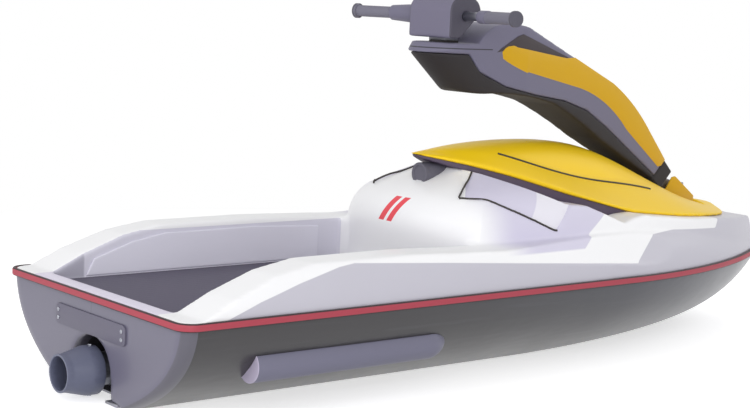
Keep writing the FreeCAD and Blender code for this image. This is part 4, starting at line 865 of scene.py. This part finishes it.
nose = interpolate_bezier(*BULLET_NOSE, NOSE_POINTS)
cutter = side_prism("bullet_prism", (*BULLET_BOX, *nose), 0.2)
stripes = copy_of("pole_stripes", "pole_stripe_inlays")
mould(stripes, "BOOLEAN", operation="INTERSECT", object=cutter)
bpy.data.objects.remove(cutter)
mould(stripes, "DISPLACE", strength=PROUD, mid_level=0)
edged(stripes, 0.001)
stands_for(stripes, "pole_stripes")

# %% [markdown]
# The rub rail is one extruded rubber strip that hides the joint of hull and deck.  Its edges are
# rounded, and dark sealant shows along both of them.

# %% Rub rail
SEAL = 0.003
rail_strip = copy_of("rub_rail", "rail_strip")
edged(rail_strip, 0.004, segments=3)
seal_colour = paint(46, 22, 28)
for low, high in ((rail_low.z - 1, rail_low.z + SEAL), (rail_high.z - SEAL, rail_high.z + 1)):
    blend_in(rail_rubber, masks(rail_rubber, patch, Low=(-3, 0, low), High=(3, 1, high), Soft=0.0008),
             seal_colour)
stands_for(rail_strip, "rub_rail")

# %% [markdown]
# The tray mat and the side pads are closed-cell foam, cut to shape and glued down.  Cut foam has
# soft edges, and a heated grid presses shallow grooves into the mat so that wet feet hold.

# %% Foam in the tray
def groove_bump(material, axis, pitch, depth):
    """Press straight grooves into a finish, pitch metres apart along one axis."""
    tree = material.node_tree
    split = tree.nodes.new("ShaderNodeSeparateXYZ")
    tree.links.new(tree.nodes.new("ShaderNodeTexCoord").outputs["Object"], split.inputs[0])
    turns = math_node(tree, "MULTIPLY", split.outputs[axis], math.pi / pitch)
    ridge = tree.nodes.new("ShaderNodeMapRange")
    ridge.interpolation_type = "SMOOTHSTEP"
    ridge.inputs["From Max"].default_value = 0.3
    tree.links.new(math_node(tree, "ABSOLUTE", math_node(tree, "SINE", turns)), ridge.inputs["Value"])
    press = tree.nodes.new("ShaderNodeBump")
    press.inputs["Distance"].default_value = depth
    tree.links.new(ridge.outputs[0], press.inputs["Height"])
    lively = tree.nodes["lively"]
    tree.links.new(lively.outputs["Normal"], press.inputs["Normal"])
    tree.links.new(press.outputs["Normal"], tree.nodes["Principled BSDF"].inputs["Normal"])


groove_bump(mat_foam, "Y", pitch=0.02, depth=0.0012)
mat = copy_of("tray_mat", "tray_mat_foam")
edged(mat, 0.0022, segments=3)
stands_for(mat, "tray_mat")
side_foam = copy_of("side_pads", "side_pad_foam")
soften(side_foam, 0.0018, rounds=5, keep=0.25)
stands_for(side_foam, "side_pads")

# %% [markdown]
# Cut, moulded or pressed pieces that aren't big skins keep their flat faces and get fine edges: the
# inserts in the cowl, the sponsons, the transom panel, the nozzle, the pole's foot and bracket, and
# the small fittings of the handlebar.

# %% Pieces with fine edges
EDGED = (
    # node, edge radius in metres
    ("side_ducts", 0.002), ("sponsons", 0.004), ("transom_panel", 0.0015), ("steering_nozzle", 0.0018),
    ("pump_housing", 0.0012), ("ride_plate", 0.001), ("intake_grate", 0.001), ("bow_eye", 0.0015),
    ("pole_recess", 0.0012), ("pole_collar", 0.003), ("pole_foot", 0.0015),
    ("bracket_cover", 0.003), ("pole_bracket", 0.0015), ("bar_mount", 0.002), ("hood_latch", 0.003),
    ("hood_rim", 0.0015), ("throttle_lever", 0.001), ("throttle_housing", 0.0015),
    ("switch_housing", 0.0015),
)
for node, radius in EDGED:
    piece = copy_of(node, node + "_edged")
    edged(piece, radius)
    stands_for(piece, node)

# %% [markdown]
# The bar cover is a foam block with a sewn skin over the handlebar's clamp.  Its edges are full, so
# it is rebuilt in fine faces and relaxed for longer than a hard moulding.

# %% Bar cover
bar_pad = copy_of("bar_cover", "bar_pad")
soften(bar_pad, 0.0022, rounds=30, keep=0.4)
stands_for(bar_pad, "bar_cover", pad_cover)

# %% [markdown]
# A dark line follows the crease along each side of the hood, and others close the lower and the rear
# edge of the air duct in the cowl.  All are thin cords of rubber laid on a skin.  A NURBS path is
# drawn near the skin, turned into a fine line, wrapped onto it and given a round section.  The
# duct's rear edge is straight, and between its ends the path is held clear of the skin, so that it's
# wrapped onto the outer face everywhere.

# %% Beads laid on the skins
def laid_bead(name, points, skin, radius, lift, material):
    """A round bead drawn by five control points, wrapped onto a skin and lifted off it."""
    clear()
    bpy.ops.curve.primitive_nurbs_path_add()
    bead = bpy.context.active_object
    bead.name = name
    for control, spot in zip(bead.data.splines[0].points, points):
        control.co = (*spot, 1)
    bead.data.splines[0].order_u = 3
    bead.data.splines[0].resolution_u = 16
    bpy.ops.object.convert(target="MESH")
    mould(bead, "SHRINKWRAP", target=skin, wrap_method="NEAREST_SURFACEPOINT", offset=lift)
    bpy.ops.object.convert(target="CURVE")
    bead.data.bevel_depth = radius
    bead.data.bevel_resolution = 2
    bead.data.use_fill_caps = True
    bpy.ops.object.convert(target="MESH")
    bpy.ops.object.shade_smooth()
    wear(bead, material)
    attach(bead, "root")
    return bead


bead_rubber = finish("bead_black", paint(48, 42, 40), 0.6, 400, 0.2, drift=0.05)
HOOD_CREASE = ((1105, 75, 505), (1190, 110, 480), (1330, 130, 445), (1480, 145, 425), (1610, 150, 410))
DUCT_EDGE = ((925, 190, 418), (985, 250, 400), (1060, 280, 364), (1110, 292, 341))
CLEAR = 0.004
off_skin = DUCT_FACE.normalized() * CLEAR
duct_middle = [duct_corner.lerp(duct_top, step / 4) + off_skin for step in (1, 2, 3)]
BEADS = (
    # name, route, skin that it lies on, radius and lift in metres
    ("hood_bead", [place_at(*spot) for spot in HOOD_CREASE], hood_skin, 0.003, 0),
    ("duct_bead", [duct_corner, *(place_at(*spot) for spot in DUCT_EDGE)], deck_skin, 0.0026, 0.001),
    ("duct_end_bead", [duct_corner, *duct_middle, duct_top], deck_skin, 0.0024, 0.0045),
)
for side, sign in (("port", 1), ("starboard", -1)):
    for label, route, skin, radius, lift in BEADS:
        spots = [(spot.x, sign * spot.y, spot.z) for spot in route]
        laid_bead(label + "_" + side, spots, skin, radius, lift, bead_rubber)
print("beads", 2 * len(BEADS))

# %% [markdown]
# The hood is held down by a round rubber knob at its rear edge.  It starts as a disc facing aft: the
# face is inset and pushed in for a thumb dish, and the edges are rounded.

# %% Hood latch knob
KNOB_RADIUS, KNOB_DEEP = 0.028, 0.03
knob_low, knob_high = corners("hood_latch")
knob_mid = knob_high.z - KNOB_RADIUS
behind_knob = Vector((-1, 0, knob_mid - KNOB_RADIUS * 0.8))
deck_x = deck_skin.ray_cast(behind_knob, Vector((1, 0, 0)))[1].x
knob_face = (knob_low.x + deck_x) / 2 - 0.002
clear()
bpy.ops.mesh.primitive_cylinder_add(vertices=64, radius=KNOB_RADIUS, depth=KNOB_DEEP,
                                    location=(knob_face + KNOB_DEEP / 2, 0, knob_mid),
                                    rotation=(0, math.radians(-90), 0))
knob = bpy.context.active_object
knob.name = "hood_knob"
bpy.ops.object.transform_apply(location=True, rotation=True, scale=True)
choose_faces(knob, lambda middle, normal: normal.x < -0.9)
edit("FACE")
bpy.ops.mesh.inset(thickness=0.008)
bpy.ops.mesh.extrude_region_move(TRANSFORM_OT_translate={"value": (0.003, 0, 0)})
leave()
mould(knob, "BEVEL", width=0.0016, segments=3, limit_method="ANGLE", angle_limit=math.radians(40))
bpy.ops.object.shade_smooth_by_angle(angle=math.radians(40))
wear(knob, grip_rubber)
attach(knob, "root")
print("knob face at", round(knob_face, 3), "deck at", round(deck_x, 3))

# %% [markdown]
# The grips are rubber sleeves with a flared end.  Fine rings across them are pressed into the
# rubber, so they are a bump of the finish and not faces.

# %% Grips
groove_bump(grip_ribs, "Y", pitch=0.005, depth=0.0006)
for node in ("grip_left", "grip_right"):
    grip = copy_of(node, node + "_sleeve")
    edged(grip, 0.0015, segments=3)
    stands_for(grip, node, grip_ribs)

# %% [markdown]
# Four small screws hold the transom panel, one near each corner.  Each is a pan head with a round
# socket sunk in it, turned so that it looks aft.

# %% Screws
SCREW_RADIUS, SCREW_RISE, SOCKET_RADIUS = 0.0045, 0.0022, 0.0022


def screw_at(name, spot, turn):
    """A pan head screw whose head looks along turn's Z axis."""
    clear()
    bpy.ops.mesh.primitive_cylinder_add(vertices=24, radius=SCREW_RADIUS, depth=SCREW_RISE)
    head = bpy.context.active_object
    head.name = name
    choose_faces(head, lambda middle, normal: normal.z > 0.9)
    edit("FACE")
    bpy.ops.mesh.inset(thickness=SCREW_RADIUS - SOCKET_RADIUS)
    bpy.ops.mesh.extrude_region_move(TRANSFORM_OT_translate={"value": (0, 0, -SCREW_RISE * 0.7)})
    leave()
    head.matrix_world = Matrix.Translation(spot) @ turn.to_4x4()
    bpy.ops.object.transform_apply(location=True, rotation=True, scale=True)
    mould(head, "BEVEL", width=0.0006, segments=2, limit_method="ANGLE", angle_limit=math.radians(40))
    bpy.ops.object.shade_smooth_by_angle(angle=math.radians(40))
    wear(head, steel)
    return head


AFT = Matrix.Rotation(math.radians(-90), 3, "Y")
FROM_EDGE = 0.0135
panel_low, panel_high = corners("transom_panel")
spots = [Vector((panel_low.x - SCREW_RISE / 4, y, z))
         for y in (panel_low.y + FROM_EDGE, panel_high.y - FROM_EDGE)
         for z in (panel_low.z + FROM_EDGE, panel_high.z - FROM_EDGE)]
for index, spot in enumerate(spots):
    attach(screw_at("panel_screw_%d" % index, spot, AFT), "root")
print("screws", len(spots))
